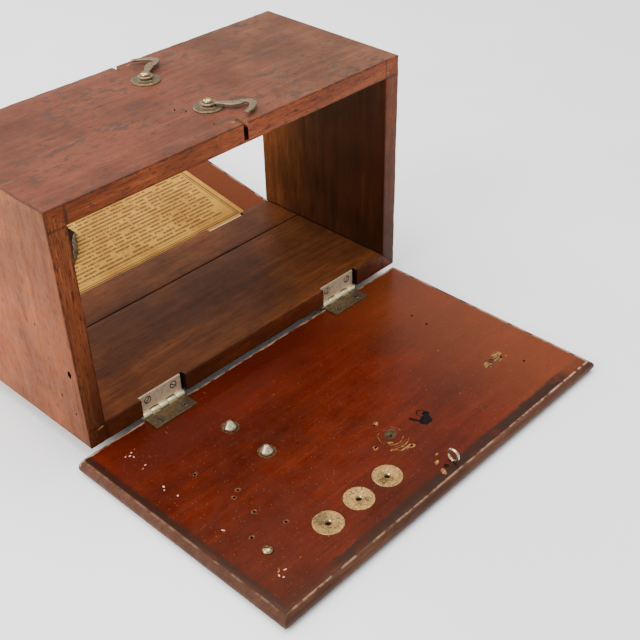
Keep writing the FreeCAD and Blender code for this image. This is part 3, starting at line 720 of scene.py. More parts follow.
# ---------------------------------------------------------------- wood boards
def rounded_outline(a0, a1, b0, b1, radius, step):
    """Rounded rectangle as (a, b) points, with points along its flats."""
    arc = [math.pi / 2 * i / 4 for i in range(5)]
    points = []
    corners = ((a1 - radius, b0 + radius, -math.pi / 2), (a1 - radius, b1 - radius, 0.0),
               (a0 + radius, b1 - radius, math.pi / 2), (a0 + radius, b0 + radius, math.pi))
    for i, (ca, cb, turn) in enumerate(corners):
        bend = [(ca + radius * math.cos(turn + t), cb + radius * math.sin(turn + t)) for t in arc]
        points += bend
        na, nb, nturn = corners[(i + 1) % 4]
        last = bend[-1]
        nxt = (na + radius * math.cos(nturn), nb + radius * math.sin(nturn))
        span = math.dist(last, nxt)
        count = max(1, round(span / step))
        points += [(last[0] + (nxt[0] - last[0]) * k / count,
                    last[1] + (nxt[1] - last[1]) * k / count) for k in range(1, count)]
    return points


def corner_round(p, radius=1.0):
    """Rounds the case's four outer corners that run front to rear."""
    dx, dz, rise = HALF_LEN - radius, CASE_TOP - CASE_MID - radius, p.z - CASE_MID
    over_x, over_z = abs(p.x) - dx, abs(rise) - dz
    length = math.hypot(over_x, over_z)
    if over_x > 0 and over_z > 0 and length > radius:
        over_x, over_z = over_x * radius / length, over_z * radius / length
        p = Vector((math.copysign(dx + over_x, p.x), p.y,
                    CASE_MID + math.copysign(dz + over_z, rise)))
    return p


def worn_edges(p, depth=0.35, reach=1.6):
    """Rubs the front and rear arrises of the case inwards, unevenly."""
    rise = p.z - CASE_MID
    gap_x, gap_y, gap_z = HALF_LEN - abs(p.x), HALF_DEP - abs(p.y), CASE_HALF - abs(rise)
    outer = min(gap_x, gap_z)
    if gap_y > reach or outer > reach:
        return p
    rub = max(0.0, noise.noise(p * 0.11) + 0.35 * noise.noise(p * 0.6) + 0.15)
    amount = depth * rub * (1 - gap_y / reach) * (1 - max(0.0, outer) / reach)
    inward = Vector([-math.copysign(1, place) if gap < reach else 0
                     for place, gap in ((p.x, gap_x), (p.y, gap_y), (rise, gap_z))])
    return p + inward * amount


JOINT_GAP = 0.05  # half of the gap in a mitre
BOARD_STEP, OUTLINE_STEP = 3.0, 3.5
NEAR_END = (0.25, 0.5, 1.0, 1.8)


def flat_board(name, y0, y1, z0, z1, upper, material, radius=0.6):
    """Top or floor board with ends mitred at 45 degrees; upper says that it widens upwards."""
    outline = rounded_outline(y0, y1, z0, z1, radius, OUTLINE_STEP)
    rings = []
    for x in stretch(-HALF_LEN, HALF_LEN, BOARD_STEP, NEAR_END):
        ring = []
        for y, z in outline:
            lost = (z1 - z if upper else z - z0) + JOINT_GAP
            ring.append(worn_edges(corner_round(Vector((x * (1 - lost / HALF_LEN), y, z)))))
        rings.append(ring)
    verts, faces = loft(rings)
    return obj_from(name, verts, faces, material)


def upright_board(name, sign, material, radius=0.6):
    """Left or right side, mitred top and bottom."""
    x0, x1 = sorted((sign * (HALF_LEN - WALL), sign * HALF_LEN))
    outline = rounded_outline(x0, x1, -HALF_DEP, HALF_DEP, radius, OUTLINE_STEP)
    low_rate = (FLOOR_TOP - CASE_LOW) / WALL
    rings = []
    for s in stretch(-CASE_HALF, CASE_HALF, BOARD_STEP, NEAR_END):
        ring = []
        for x, y in outline:
            depth = HALF_LEN - abs(x) + JOINT_GAP
            lost = depth * (low_rate if s < 0 else 1.0)
            z = CASE_MID + s * (1 - lost / CASE_HALF)
            ring.append(worn_edges(corner_round(Vector((x, y, z)))))
        rings.append(ring)
    verts, faces = loft(rings)
    return obj_from(name, verts, faces, material)


def shard(name, x, y, size_x, size_y, depth, surface, material, seed, turn=0.0, points=14):
    """Cutter with a ragged outline: a shallow crater in the surface, seen from above."""
    draw = random.Random(seed)
    ring = []
    for i in range(points):
        a = 2 * math.pi * i / points
        r = draw.uniform(0.70, 1.0)
        u, v = r * size_x / 2 * math.cos(a), r * size_y / 2 * math.sin(a)
        ring.append((x + u * math.cos(turn) - v * math.sin(turn),
                     y + u * math.sin(turn) + v * math.cos(turn)))
    rings = [[(x + (px - x) * scale, y + (py - y) * scale, surface + z) for px, py in ring]
             for scale, z in ((0.55, -depth * draw.uniform(0.7, 1.0)), (0.90, -depth * 0.45),
                              (1.06, 0.4))]
    return obj_from(name, *loft(rings), material)


# ---------------------------------------------------------------- case
CLEAR = 1.0  # how far a cutter stands out of the wood
KERF_HALF, KERF_LENGTH, KERF_DEEP, KERF_SHALLOW, KERF_OFFSET = 1.9, 9.0, 13.1, 1.4, 0.3
MORTISE_LEFT_GAP, MORTISE_RIGHT_GAP = 0.3, 2.4


def kerf_cutter(side):
    """Saw slot in the top board that takes the ring of a closed flap's screw eye."""
    mid = centre("front_screw_eye").x + KERF_OFFSET
    outer, inner, above = HALF_DEP + CLEAR, HALF_DEP - KERF_LENGTH, CASE_TOP + CLEAR
    profile = [(outer, CASE_TOP - KERF_DEEP), (outer, above),
               (inner, above), (inner, CASE_TOP - KERF_SHALLOW)]
    rings = [[(x, side * y, z) for y, z in profile] for x in (mid - KERF_HALF, mid + KERF_HALF)]
    return obj_from("kerf", *loft(rings), slot_wood)


def mortise_cutters(side, low_y):
    """Pockets for the case leaves of one edge of the floor."""
    cutters = []
    for hinge in HINGES:
        low, high = extent(f"{WORD[side]}_{hinge}_case_leaf")
        y0, y1 = sorted((side * low_y, side * (HALF_DEP + CLEAR)))
        cutters.append(block("mortise", (low.x - MORTISE_LEFT_GAP, y0, CASE_LOW - CLEAR),
                             (high.x + MORTISE_RIGHT_GAP, y1, FLOOR_TOP + CLEAR), dark_wood))
    return cutters


# Damage on the case: board, face, two positions, two sizes, depth, turn in degrees, kind. A face's
# positions are x and y on top, x and z on the front, z and y on the left.
BOARD_MARKS = (
    ("top", "top", -16.5, -19.0, 5.5, 1.1, 0.4, 62, "dark"),
    ("top", "top", -12.8, -26.0, 5.0, 1.0, 0.4, 38, "dark"),
    ("top", "top", -13.3, -53.7, 1.8, 1.5, 0.4, 0, "dark"),
    ("top", "top", -3.6, -60.5, 5.0, 1.8, 0.4, -38, "pale"),
    ("top", "top", 9.0, 62.5, 6.5, 2.6, 0.5, 15, "pale"),
    ("left", "front", -143.0, 25.5, 6.5, 2.6, 0.5, 12, "pale"),
    ("left", "front", -139.9, 23.0, 3.5, 1.6, 0.5, 30, "pale"),
    ("left", "left", 71.0, -59.4, 7.5, 4.4, 3.0, 0, "dark"),
    ("left", "left", 47.0, -45.0, 3.5, 1.6, 0.5, 20, "dark"),
    ("left", "left", 38.0, -58.0, 2.6, 1.4, 0.5, -30, "dark"),
    ("left", "left", 33.0, -36.0, 3.0, 1.2, 0.5, 60, "dark"),
    ("left", "left", 96.0, -30.0, 2.0, 1.6, 0.5, 0, "dark"),
)
FACES = {"top": (CASE_TOP, Matrix.Identity(4)),
         "front": (HALF_DEP, Matrix.Rotation(math.radians(90), 4, "X")),
         "left": (HALF_LEN, Matrix.Rotation(math.radians(-90), 4, "Y"))}


def board_marks(board):
    """Cutters for the damage of one board of the case."""
    cutters = []
    for seed, (owner, face, u, v, size_u, size_v, depth, turn, kind) in enumerate(BOARD_MARKS):
        if owner == board:
            surface, facing = FACES[face]
            mark = shard("mark", u, v, size_u, size_v, depth, surface, MARK_WOODS[kind],
                         40 + seed, math.radians(turn))
            mark.data.transform(facing)
            cutters.append(mark)
    return cutters


def settle(obj, body, nodes, degrees=35):
    """Shading, riding and replacing for a finished piece."""
    obj.data.polygons.foreach_set("use_smooth", [True] * len(obj.data.polygons))
    obj.data.set_sharp_from_angle(angle=math.radians(degrees))
    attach(obj, body)
    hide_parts(*nodes)


def make_case():
    pocket = min(abs(corner.y) for corner in extent("front_left_case_leaf"))
    top = flat_board("case_top", -HALF_DEP, HALF_DEP, CASE_TOP - WALL, CASE_TOP, True,
                     board_mats["top"])
    carve_all(top, [kerf_cutter(FRONT), kerf_cutter(REAR), *board_marks("top")])
    settle(top, CASE, ["top_board"])
    for word, sign in (("left", -1), ("right", 1)):
        wall = upright_board(f"case_{word}_side", sign, board_mats[word])
        if word == "left":
            carve_all(wall, board_marks("left"))
        settle(wall, CASE, [f"{word}_side"])
    for side in (FRONT, REAR):
        low, high = extent(f"floor_{WORD[side]}_plank")
        plank = flat_board(f"case_floor_{WORD[side]}", low.y, high.y, CASE_LOW, FLOOR_TOP, False,
                           board_mats["floor"])
        carve(plank, mortise_cutters(side, pocket), "MANIFOLD")
        settle(plank, CASE, [f"floor_{WORD[side]}_plank"])


make_case()


# ---------------------------------------------------------------- flaps
NOSE_STEPS = 12
LIP, LIP_DROP = 0.35, 0.3  # the small step where the moulding meets the flat face
GRID = 2.5
HINGE_INSET = 0.4
ARRIS_REACH, ARRIS_WEAR, HINGE_WEAR = 2.5, 0.35, 0.4


def nose_profile():
    """(inset, height) points of the moulded edge, from the inner face to the outer one."""
    radius = FLAP_THK / 2
    points = [(radius + LIP, FLAP_THK), (radius + 0.05, FLAP_THK - 0.05),
              (radius - 0.05, FLAP_THK - LIP_DROP)]
    for i in range(1, NOSE_STEPS):
        a = math.pi / 2 - math.pi * i / NOSE_STEPS
        lift = radius + (radius - 0.25 if a > 0 else radius) * math.sin(a)
        points.append((radius * (1 - math.cos(a)), lift))
    points += [(radius, 0.02), (radius + LIP, 0.0)]
    return points


def flap_blank(name, side, low_x, high_x, material):
    """Flap board lying flat: flat faces, moulding on three edges, square hinge edge."""
    near, far = FLAP_NEAR, FLAP_FAR
    inset = nose_profile()[0][0]
    xs = stretch(low_x + inset, high_x - inset, GRID)
    ys = stretch(near + HINGE_INSET, far - inset, GRID)
    cx, nx, ny = (low_x + high_x) / 2, len(xs), len(ys)
    span = (high_x - low_x) / 2 - inset

    # Grid places of the outline, counted from the near left corner.
    border = ([(i, 0) for i in range(nx)] + [(nx - 1, j) for j in range(1, ny)]
              + [(i, ny - 1) for i in range(nx - 2, -1, -1)]
              + [(0, j) for j in range(ny - 2, 0, -1)])
    rings = []
    for d, z in nose_profile():
        flat = z in (FLAP_THK, 0.0)
        y_near, y_far = near + (HINGE_INSET if flat else 0.0), far - d
        fx = [cx + (x - cx) / span * ((high_x - low_x) / 2 - d) for x in xs]
        fy = [y_near + (y - ys[0]) / (ys[-1] - ys[0]) * (y_far - y_near) for y in ys]
        rings.append([(fx[i], fy[j], z) for i, j in border])
    verts, faces = loft(rings, caps=False)
    for base, z in ((0, FLAP_THK), ((len(rings) - 1) * len(border), 0.0)):
        index = {spot: base + k for k, spot in enumerate(border)}
        for j in range(1, ny - 1):
            for i in range(1, nx - 1):
                index[i, j] = len(verts)
                verts.append((xs[i], ys[j], z))
        faces += [[index[i, j], index[i + 1, j], index[i + 1, j + 1], index[i, j + 1]]
                  for j in range(ny - 1) for i in range(nx - 1)]
    return obj_from(name, [(x, side * y, z) for x, y, z in verts], faces, material)


def rubbed(obj, side, low_x, high_x):
    """Uneven wear along the moulding's upper arris, and a slightly wavy hinge edge."""
    radius = FLAP_THK / 2
    for v in obj.data.vertices:
        p = v.co / MM
        reach = side * p.y
        d = min(p.x - low_x, high_x - p.x, FLAP_FAR - reach)
        rub = noise.noise(p * 0.08) + 0.5 * noise.noise(p * 0.35)
        if p.z > FLAP_THK / 2 and abs(d - radius) < ARRIS_REACH:
            p.z -= max(0.0, rub) * ARRIS_WEAR * (1 - abs(d - radius) / ARRIS_REACH)
        if p.z > FLAP_THK - 0.5 and reach < FLAP_NEAR + 1:
            p.z -= max(0.0, rub) * HINGE_WEAR
        v.co = p * MM
    return obj


OLD_HOLES = ((-120.3, -132.5), (-117.4, -166.5), (-111.4, -163.3), (-117.4, -184.7),
             (-110.1, -205.3), (-133.3, -199.2), (108.8, -123.8), (108.0, -139.1),
             (120.2, -221.0), (-6.6, -186.4), (-22.7, -201.9), (-5.3, -218.2))
HALOED = 6  # the first holes have a dark ring of bruised wood
DISCS = ("left", "middle", "right")
STUDS = ("near_hinge", "far")
# Damage on the front flap: x, y, size along x, size along y, depth, turn in degrees, kind.
CHIPS = ((110.8, -203.0, 14.0, 10.5, 0.5, 20, "worn"), (98.2, -204.4, 9.5, 7.5, 0.45, 40, "worn"),
         (104.2, -203.0, 7.0, 5.0, 0.6, 0, "olive"), (113.0, -205.5, 5.0, 1.8, 0.8, 60, "dark"),
         (99.8, -206.0, 3.2, 1.6, 0.7, 80, "dark"), (116.5, -207.5, 2.6, 0.9, 0.4, 30, "pale"),
         (20.8, -208.8, 12.5, 10.5, 0.6, 10, "burnt"), (26.0, -205.0, 6.5, 7.0, 0.5, 30, "burnt"),
         (15.6, -203.0, 10.0, 3.6, 0.45, -70, "burnt"),
         (-6.6, -200.6, 12.5, 11.0, 0.3, 15, "olive"), (-7.5, -202.0, 3.4, 2.6, 0.8, 15, "dark"),
         (-13.0, -206.5, 6.0, 3.0, 0.4, -50, "worn"), (-9.8, -216.8, 11.0, 3.4, 0.4, -14, "worn"),
         (-5.4, -186.4, 6.0, 4.5, 0.35, 10, "pale"), (-23.5, -202.2, 5.5, 4.2, 0.35, 40, "pale"),
         (-5.6, -218.5, 6.5, 5.0, 0.35, -20, "pale"), (-16.5, -212.5, 7.0, 2.6, 0.35, -25, "pale"),
         (-140.6, -229.6, 5, 2, 0.5, 40, "pale"),
         (-137.5, -231.8, 3, 1.2, 0.4, -20, "white"), (-143.0, -232.5, 2.4, 1.2, 0.3, 70, "white"),
         (-124.6, -231.9, 2.6, 1.0, 0.35, 10, "pale"), (-142.1, -235.3, 1.8, 1.0, 0.35, 0, "white"),
         (-139.5, -103.6, 3.4, 1.4, 0.3, 30, "pale"), (-136.2, -102.0, 2.0, 1.2, 0.3, 0, "white"),
         (-137.7, -87.9, 2.2, 1.4, 0.3, 0, "white"), (-134.9, -86.0, 1.8, 1.2, 0.3, 50, "white"),
         (-140.2, -86.4, 1.6, 1.3, 0.3, 20, "white"), (-136.4, -90.4, 2.4, 1.0, 0.3, 80, "white"),
         (-133.0, -88.8, 1.4, 1.0, 0.3, 10, "pale"), (-131.6, -84.9, 1.5, 1.0, 0.3, 30, "pale"),
         (-141.1, -126.3, 2.6, 1.5, 0.3, 80, "white"), (-142.8, -129.0, 1.6, 1.1, 0.3, 20, "white"),
         (-140.1, -138.9, 2.2, 1.4, 0.3, 30, "white"),
         (-140.9, -182.2, 3.2, 1.1, 0.3, -60, "white"),
         (-7.0, -241.0, 6, 3, 0.35, 20, "pale"), (-10.5, -249.5, 7, 4, 0.35, 60, "pale"),
         (-1.0, -236.0, 4, 2, 0.3, 10, "pale"), (-5.2, -247.8, 5, 4.5, 0.5, 0, "dark"))
# Scar of a removed round fitting: radius, start, end and width of its curved scratches.
SCAR_MID = (-8.2, -202.0)
SCAR_ARCS = ((8.3, 60, 200, 1.5), (8.6, 190, 335, 2.2), (10.6, 205, 320, 1.4),
             (12.5, 225, 312, 2.9), (14.6, 235, 300, 2.2), (16.4, 246, 285, 1.6),
             (6.6, 185, 250, 1.0), (9.6, -15, 45, 1.5))
BURN_MID, BURN_ARC = (24.2, -202.4), (3.3, -40, 230, 2.4)
ARC_STEPS, SCAR_DEPTH, BURN_DEPTH = 24, 0.45, 0.5
SCRATCHES, SCRATCH_WIDTH, SCRATCH_DEPTH = 18, 0.55, 0.25
HALO_SIZE, HALO_DEPTH = (5.2, 4.6), 0.3
HOLE_DEPTH = 4.4
HOLE_PROFILE = ((0, 0), (0.45, 0), (0.8, 2.8), (1.0, 4.6), (1.0, 6), (0, 6))
SEAT_GAP = 0.12  # between a disc and the wood around it


def arc_groove(mid, radius, start, end, width, depth, surface, material):
    """Thin curved scratch."""
    rings = []
    for i in range(ARC_STEPS + 1):
        t = i / ARC_STEPS
        a = math.radians(start + (end - start) * t)
        ragged = 1 + 0.3 * noise.noise(Vector((i * 0.7, radius, 0)))
        half = width / 2 * (0.25 + 0.75 * math.sin(math.pi * t)) * ragged
        section = ((radius - half, surface + CLEAR), (radius + half, surface + CLEAR),
                   (radius, surface - depth))
        rings.append([(mid[0] + r * math.cos(a), mid[1] + r * math.sin(a), z)
                      for r, z in section])
    return obj_from("groove", *loft(rings), material)


def front_marks():
    """Old holes, chips, a burn, the scar of a removed round fitting and the studs' sinkings."""
    surface, cutters = FLAP_THK, []
    for i, (x, y, sx, sy, depth, turn, kind) in enumerate(CHIPS):
        cutters.append(shard("chip", x, y, sx, sy, depth, surface, MARK_WOODS[kind], i,
                             math.radians(turn)))
    for radius, start, end, width in SCAR_ARCS:
        cutters.append(arc_groove(SCAR_MID, radius, start, end, width, SCAR_DEPTH, surface,
                                   MARK_WOODS["pale"]))
    cutters.append(arc_groove(BURN_MID, *BURN_ARC, BURN_DEPTH, surface,
                               MARK_WOODS["burnt"]))
    draw = random.Random(11)
    for i in range(SCRATCHES):
        near_hinge = i % 2 == 0
        x = draw.uniform(-145, -60) if near_hinge else draw.uniform(-140, 110)
        y = draw.uniform(-105, -74) if near_hinge else draw.uniform(-235, -90)
        cutters.append(shard("scratch", x, y, draw.uniform(1.6, 4.0), SCRATCH_WIDTH,
                             SCRATCH_DEPTH, surface, MARK_WOODS["pale"], 100 + i,
                             draw.uniform(0, math.pi), 8))
    for name in STUDS:
        mid = centre(f"cone_stud_{name}")
        cutters.append(ringed("recess", [(5.0, -0.6), (6.4, -0.05), (6.4, CLEAR), (5.0, CLEAR)],
                              (mid.x, mid.y, surface), MARK_WOODS["grey"], 40))
    for i, (x, y) in enumerate(OLD_HOLES[:HALOED]):
        cutters.append(shard("halo", x, y, *HALO_SIZE, HALO_DEPTH, surface, MARK_WOODS["halo"],
                             200 + i))
    for x, y in OLD_HOLES:
        cutters.append(lathe("old_hole", HOLE_PROFILE, (x, y, surface - HOLE_DEPTH), dark_wood,
                             14))
    return cutters


def make_flap(side):
    word = WORD[side]
    low, high = extent(f"{word}_flap")
    material = front_wood if side == FRONT else rear_wood
    obj = flap_blank(f"{word}_flap_board", side, low.x, high.x, material)
    rubbed(obj, side, low.x, high.x)
    cutters = []
    if side == FRONT:
        cutters += front_marks()
        for name in DISCS:
            a, b = extent(f"pinhole_disc_{name}")
            mid = (a + b) / 2
            radius = (b.x - a.x) / 2 + SEAT_GAP
            cutters.append(lathe("seat", [(0, 0), (radius, 0), (radius, 3), (0, 3)],
                                 (mid.x, mid.y, a.z), dark_wood, 64))
    carve_all(obj, cutters)
    if side == REAR:
        obj.data.transform(RISEN)
    settle(obj, FLAP_BODY[side], [f"{word}_flap"], 40)


make_flap(FRONT)
make_flap(REAR)


# ---------------------------------------------------------------- hardware helpers
def smooth_path(points, per_span=5):
    """Catmull-Rom line through the points."""
    points = [Vector(p) for p in points]
    ends = [points[0] * 2 - points[1], *points, points[-1] * 2 - points[-2]]
    path = []
    for a, b, c, d in zip(ends, ends[1:], ends[2:], ends[3:]):
        for k in range(per_span):
            t = k / per_span
            path.append(0.5 * (2 * b + (c - a) * t + (2 * a - 5 * b + 4 * c - d) * t * t
                               + (3 * b - a - 3 * c + d) * t ** 3))
    return [*path, points[-1]]


def fused(name, objs, voxel, rounds=4):
    """Melts overlapping solids into one skin with soft inner corners."""
    obj = join(name, objs)
    skin = obj.modifiers.new("skin", "REMESH")
    skin.mode = "VOXEL"
    skin.voxel_size = voxel * MM
    calm = obj.modifiers.new("calm", "SMOOTH")
    calm.factor = 0.5
    calm.iterations = rounds
    return applied(obj)


def place(obj, matrix):
    """Moves the mesh inside its object."""
    obj.data.transform(matrix)
    return obj


def at(x, y, z, turn=0.0, axis="Z"):
    """Move in millimetres after a turn in degrees."""
    return Matrix.Translation(Vector((x, y, z)) * MM) @ Matrix.Rotation(math.radians(turn), 4, axis)


# ---------------------------------------------------------------- hooks
HOOK_REST = {FRONT: -50.0, REAR: 43.0}
# Half width of the arm at the eye, and its swells: start, end and gain along the arm's length.
ARM_HALF = 1.9
ARM_SWELLS = ((0.04, 0.16, 1.1), (0.28, 0.42, -1.0), (0.46, 0.6, 0.5), (0.76, 1, -0.9))
ARM_CORNERS, ARM_SIDES = 0.55, 16
PLATE_LOW, PLATE_HIGH = 192.3, 193.9
BEND_MID, BEND_RADIUS, FINGER_RADIUS, FINGER_END = (25.1, -0.5), 4.75, 29.85, -27.0


def hook_blank(name, flip):
    """Hook about its own pivot: cupped eye, swelling arm, bend and finger."""
    arc = [(BEND_MID[0] + BEND_RADIUS * math.cos(math.radians(a)),
            BEND_MID[1] + BEND_RADIUS * math.sin(math.radians(a))) for a in range(140, -1, -20)]
    finger = [(FINGER_RADIUS * math.cos(math.radians(a)), FINGER_RADIUS * math.sin(math.radians(a)))
              for a in (-7, -13, -20, FINGER_END)]
    path = smooth_path([(3.4, 0, 0), (8, 0, 0), (13, 0, 0), (17.2, 0.1, 0), (19.7, 1.1, 0)]
                       + [(u, v, 0) for u, v in arc + finger])
    mid_z, half_t = (PLATE_LOW + PLATE_HIGH) / 2, (PLATE_HIGH - PLATE_LOW) / 2
    rings = []
    for i, p in enumerate(path):
        ahead = (path[min(i + 1, len(path) - 1)] - path[max(i - 1, 0)]).normalized()
        side = Vector((-ahead.y, ahead.x, 0))
        t = i / (len(path) - 1)
        half_w = sum((gain * ease(t, low, high) for low, high, gain in ARM_SWELLS), ARM_HALF)
        thin = 1.0 - 0.10 * ease(t, 0.05, 0.15) * (1 - ease(t, 0.2, 0.3))
        ring = []
        for k in range(ARM_SIDES):
            a = 2 * math.pi * k / ARM_SIDES
            u, w = (math.copysign(abs(v) ** ARM_CORNERS, v) for v in (math.cos(a), math.sin(a)))
            ring.append(p + side * (u * half_w) + Vector((0, 0, mid_z + w * half_t * thin)))
        rings.append(ring)
    arm = obj_from("arm", *loft(rings))
    eye = ringed("eye", [(1.68, PLATE_LOW), (4.9, PLATE_LOW), (5.3, PLATE_LOW + 0.3),
                         (5.4, PLATE_LOW + 0.8), (5.2, PLATE_HIGH - 0.3), (4.7, PLATE_HIGH),
                         (3.8, PLATE_HIGH + 0.02), (1.68, PLATE_HIGH)], (0, 0, 0), None)
    obj = fused(name, [arm, eye], 0.22, 3)
    if flip < 0:
        obj.data.transform(Matrix.Scale(-1, 4, Vector((0, 1, 0))))
        obj.data.flip_normals()
    return obj


def make_hook(side):
    word = WORD[side]
    pivot = pins[f"{word}_hook_pivot"]
    hook = hook_blank(f"{word}_swing_hook", -side)
    hook.data.materials.append(hook_brass)
    place(hook, at(pivot.x, pivot.y, 0, HOOK_REST[side]))
    settle(hook, HOOK_BODY[side], [f"{word}_hook"], 60)
    rose = ringed(f"{word}_rose", [
        (1.7, 0.02), (10.15, 0.02), (10.38, 0.2), (10.4, 0.45), (10.2, 0.75), (9.7, 1.05),
        (9.2, 1.22), (8.7, 1.22), (8.4, 1.14), (6.4, 1.20), (5.8, 1.34), (5.2, 1.75),
        (4.7, 2.1), (4.2, 2.2), (1.7, 2.2)], (pivot.x, pivot.y, CASE_TOP), rose_brass, 72)
    settle(rose, CASE, [f"{word}_hook_rose"])
    rivet = lathe(f"{word}_rivet", [
        (0, -9), (1.55, -9), (1.55, 4.02), (3.2, 4.02), (3.45, 4.12), (3.5, 4.35), (3.3, 4.9),
        (2.9, 5.4), (2.3, 5.8), (1.5, 6.08), (0.7, 6.18), (0, 6.2)],
        (pivot.x, pivot.y, CASE_TOP), rivet_brass, 40)
    settle(rivet, CASE, [f"{word}_hook_rivet"], 50)


make_hook(FRONT)
make_hook(REAR)


# ---------------------------------------------------------------- hinges and their screws
def dress(node, material, width=0.16):
    """Keeps a CAD piece: its facets are welded, its edges broken and its metal aged."""
    obj = frame["nodes"][node]
    weld = obj.modifiers.new("weld", "WELD")
    weld.merge_threshold = 0.002 * MM
    bevel = obj.modifiers.new("edges", "BEVEL")
    bevel.width = width * MM
    bevel.segments = 2
    bevel.limit_method = "ANGLE"
    bevel.angle_limit = math.radians(32)
    obj.data.materials.clear()
    obj.data.materials.append(material)
    return obj


for word, flap_metal in (("front", dull_brass), ("rear", rear_brass)):
    for hinge in HINGES:
        dress(f"{word}_{hinge}_case_leaf", leaf_brass)
        dress(f"{word}_{hinge}_flap_leaf", flap_metal)
        dress(f"{word}_{hinge}_hinge_pin", bright_brass, 0.2)

SCREW_PITCH, SCREW_ROW, LEAF_THK, KNUCKLE_R, HOLE_RADIUS = 11.2, 10.3, 1.2, 2.2, 3.02
HEAD_RADIUS, HEAD_RISE, HEAD_SLOT = 2.2, 0.14, 1.0


def screw_places(side, upright):
    """Middle of each head of a flap's two hinges, in the plane of the case or the flap leaves."""
    skin = LEAF_THK - KNUCKLE_R
    dy, dz = (skin, SCREW_ROW) if upright else (SCREW_ROW, skin)
    for hinge in HINGES:
        mid = centre(f"{WORD[side]}_{hinge}_case_leaf")
        for sign in (-1, 1):
            yield mid.x + sign * SCREW_PITCH, side * (PIVOT_Y + dy), PIVOT_Z + dz


def slotted_screw(turn, material):
    """Countersunk slotted screw that points down from the origin, with dirt around its head."""
    r = HEAD_RADIUS
    head = lathe("screw", [(0, -8), (0.3, -8), (1.0, -6.6), (1.05, -1.15), (r - 0.06, -0.14),
                           (r, -0.05), (r - 0.12, 0.03), (r * 0.6, HEAD_RISE * 0.8),
                           (0, HEAD_RISE)], (0, 0, 0), material, 32)
    groove = block("groove", (-4, -HEAD_SLOT / 2, -0.6), (4, HEAD_SLOT / 2, 2), dark_slot)
    place(groove, Matrix.Rotation(math.radians(turn), 4, "Z"))
    dirt = ringed("dirt", [(r - 0.1, -0.25), (HOLE_RADIUS, -0.1), (HOLE_RADIUS, 0.04),
                           (r - 0.05, 0.04)], (0, 0, 0), dark_slot, 32)
    return join("screw", [carve(head, [groove]), dirt])


def screw_set(name, spots, body, node, facing, turns, material, matrix=None):
    """The screws of one node. facing turns a screw that points down into its own direction."""
    made = []
    for (x, y, z), turn in zip(spots, turns):
        screw = slotted_screw(turn, material)
        made.append(place(screw, Matrix.Translation(Vector((x, y, z)) * MM) @ facing(y)))
    obj = join(name, made)
    if matrix:
        obj.data.transform(matrix)
    settle(obj, body, [node], 30)


screw_set("case_leaf_screw_set", [*screw_places(FRONT, True), *screw_places(REAR, True)], CASE,
          "case_leaf_screws",
          lambda y: Matrix.Rotation(math.radians(90 if y < 0 else -90), 4, "X"),
          (48, -38, 80, 62, 15, -50, 33, 70), leaf_brass)
screw_set("front_flap_screw_set", [*screw_places(FRONT, False)], FRONT_FLAP,
          "front_flap_leaf_screws", lambda y: Matrix.Identity(4), (100, 20, 70, -35), dull_brass)
screw_set("rear_flap_screw_set", [*screw_places(REAR, False)], REAR_FLAP,
          "rear_flap_leaf_screws", lambda y: Matrix.Identity(4), (40, 75, -20, 10), rear_brass,
          RISEN)


# ---------------------------------------------------------------- screw eyes
EYE_RADIUS, EYE_WIRE, EYE_START, EYE_SWEEP, EYE_STEPS = 4.3, 1.0, -82, 344, 63
THREADS, THREAD_PITCH, THREAD_LOW = 9, 0.62, -6.0


def screw_eye(side):
    """Ring of bent wire on a threaded shank that goes into the flap."""
    mid = centre("front_screw_eye")
    x, y = mid.x, -side * mid.y
    mid_z = extent("front_screw_eye")[1].z - EYE_RADIUS - EYE_WIRE
    rings = []
    for i in range(EYE_STEPS + 1):
        a = math.radians(EYE_START + EYE_SWEEP * i / EYE_STEPS)
        out = Vector((0, math.cos(a), math.sin(a)))
        thick = EYE_WIRE * (1.0 - 0.18 * ease(i / EYE_STEPS, 0.9, 1.0))
        spot = Vector((x, y, mid_z)) + out * EYE_RADIUS
        rings.append([spot + out * thick * math.cos(t) + Vector((thick * math.sin(t), 0, 0))
                      for t in (2 * math.pi * k / 14 for k in range(14))])
    wire = obj_from("wire", *loft(rings))
    profile = [(0, -6.5), (0.35, -6.5)]
    for i in range(THREADS):
        z = THREAD_LOW + THREAD_PITCH * i
        profile += [(0.85, z), (1.12, z + THREAD_PITCH / 2)]
    profile += [(1.1, 0.0), (1.15, 0.9), (0.9, 1.5), (0, 1.6)]
    shank = lathe("shank", profile, (x, y, FLAP_THK), None, 28)
    obj = fused(f"{WORD[side]}_eye", [wire, shank], 0.16, 2)
    obj.data.materials.append(bright_brass)
    if side == REAR:
        obj.data.transform(RISEN)
    settle(obj, FLAP_BODY[side], [f"{WORD[side]}_screw_eye"], 60)


screw_eye(FRONT)
screw_eye(REAR)


# ---------------------------------------------------------------- fittings of the front flap
# Looks of the discs: seed, shade, and the direction in degrees and size of a dark smudge.
DISC_LOOKS = {"left": (5.0, 1.08, 100, 6.0), "middle": (23.0, 1.25, -50, 2.4),
              "right": (41.0, 1.1, 185, 3.4)}


STUD_FLANGE = ((0, -5.9), (0.5, -5.9), (1.15, -5.0), (1.15, 0.01), (4.7, 0.01), (4.88, 0.12),
               (4.9, 0.36), (4.6, 0.52), (3.9, 0.55), (0, 0.55))
STUD_CONE = ((0, 0.5), (4.3, 0.5), (4.4, 0.62), (4.3, 0.95), (3.6, 2.0), (1.8, 4.75), (1.5, 5.2),
             (1.15, 5.37), (0, 5.4))
DOME_SCREW = ((0, -7), (0.4, -7), (1.1, -5.8), (1.1, 0.01), (3.4, 0.01), (3.55, 0.2), (3.5, 0.6),
              (3.15, 1.25), (2.5, 1.8), (1.6, 2.18), (0.8, 2.29), (0, 2.3))
DOME_SLOT, DOME_SLOT_FLOOR, DOME_TURN = 0.8, 1.35, 35
SMUDGE_RADIUS = 5
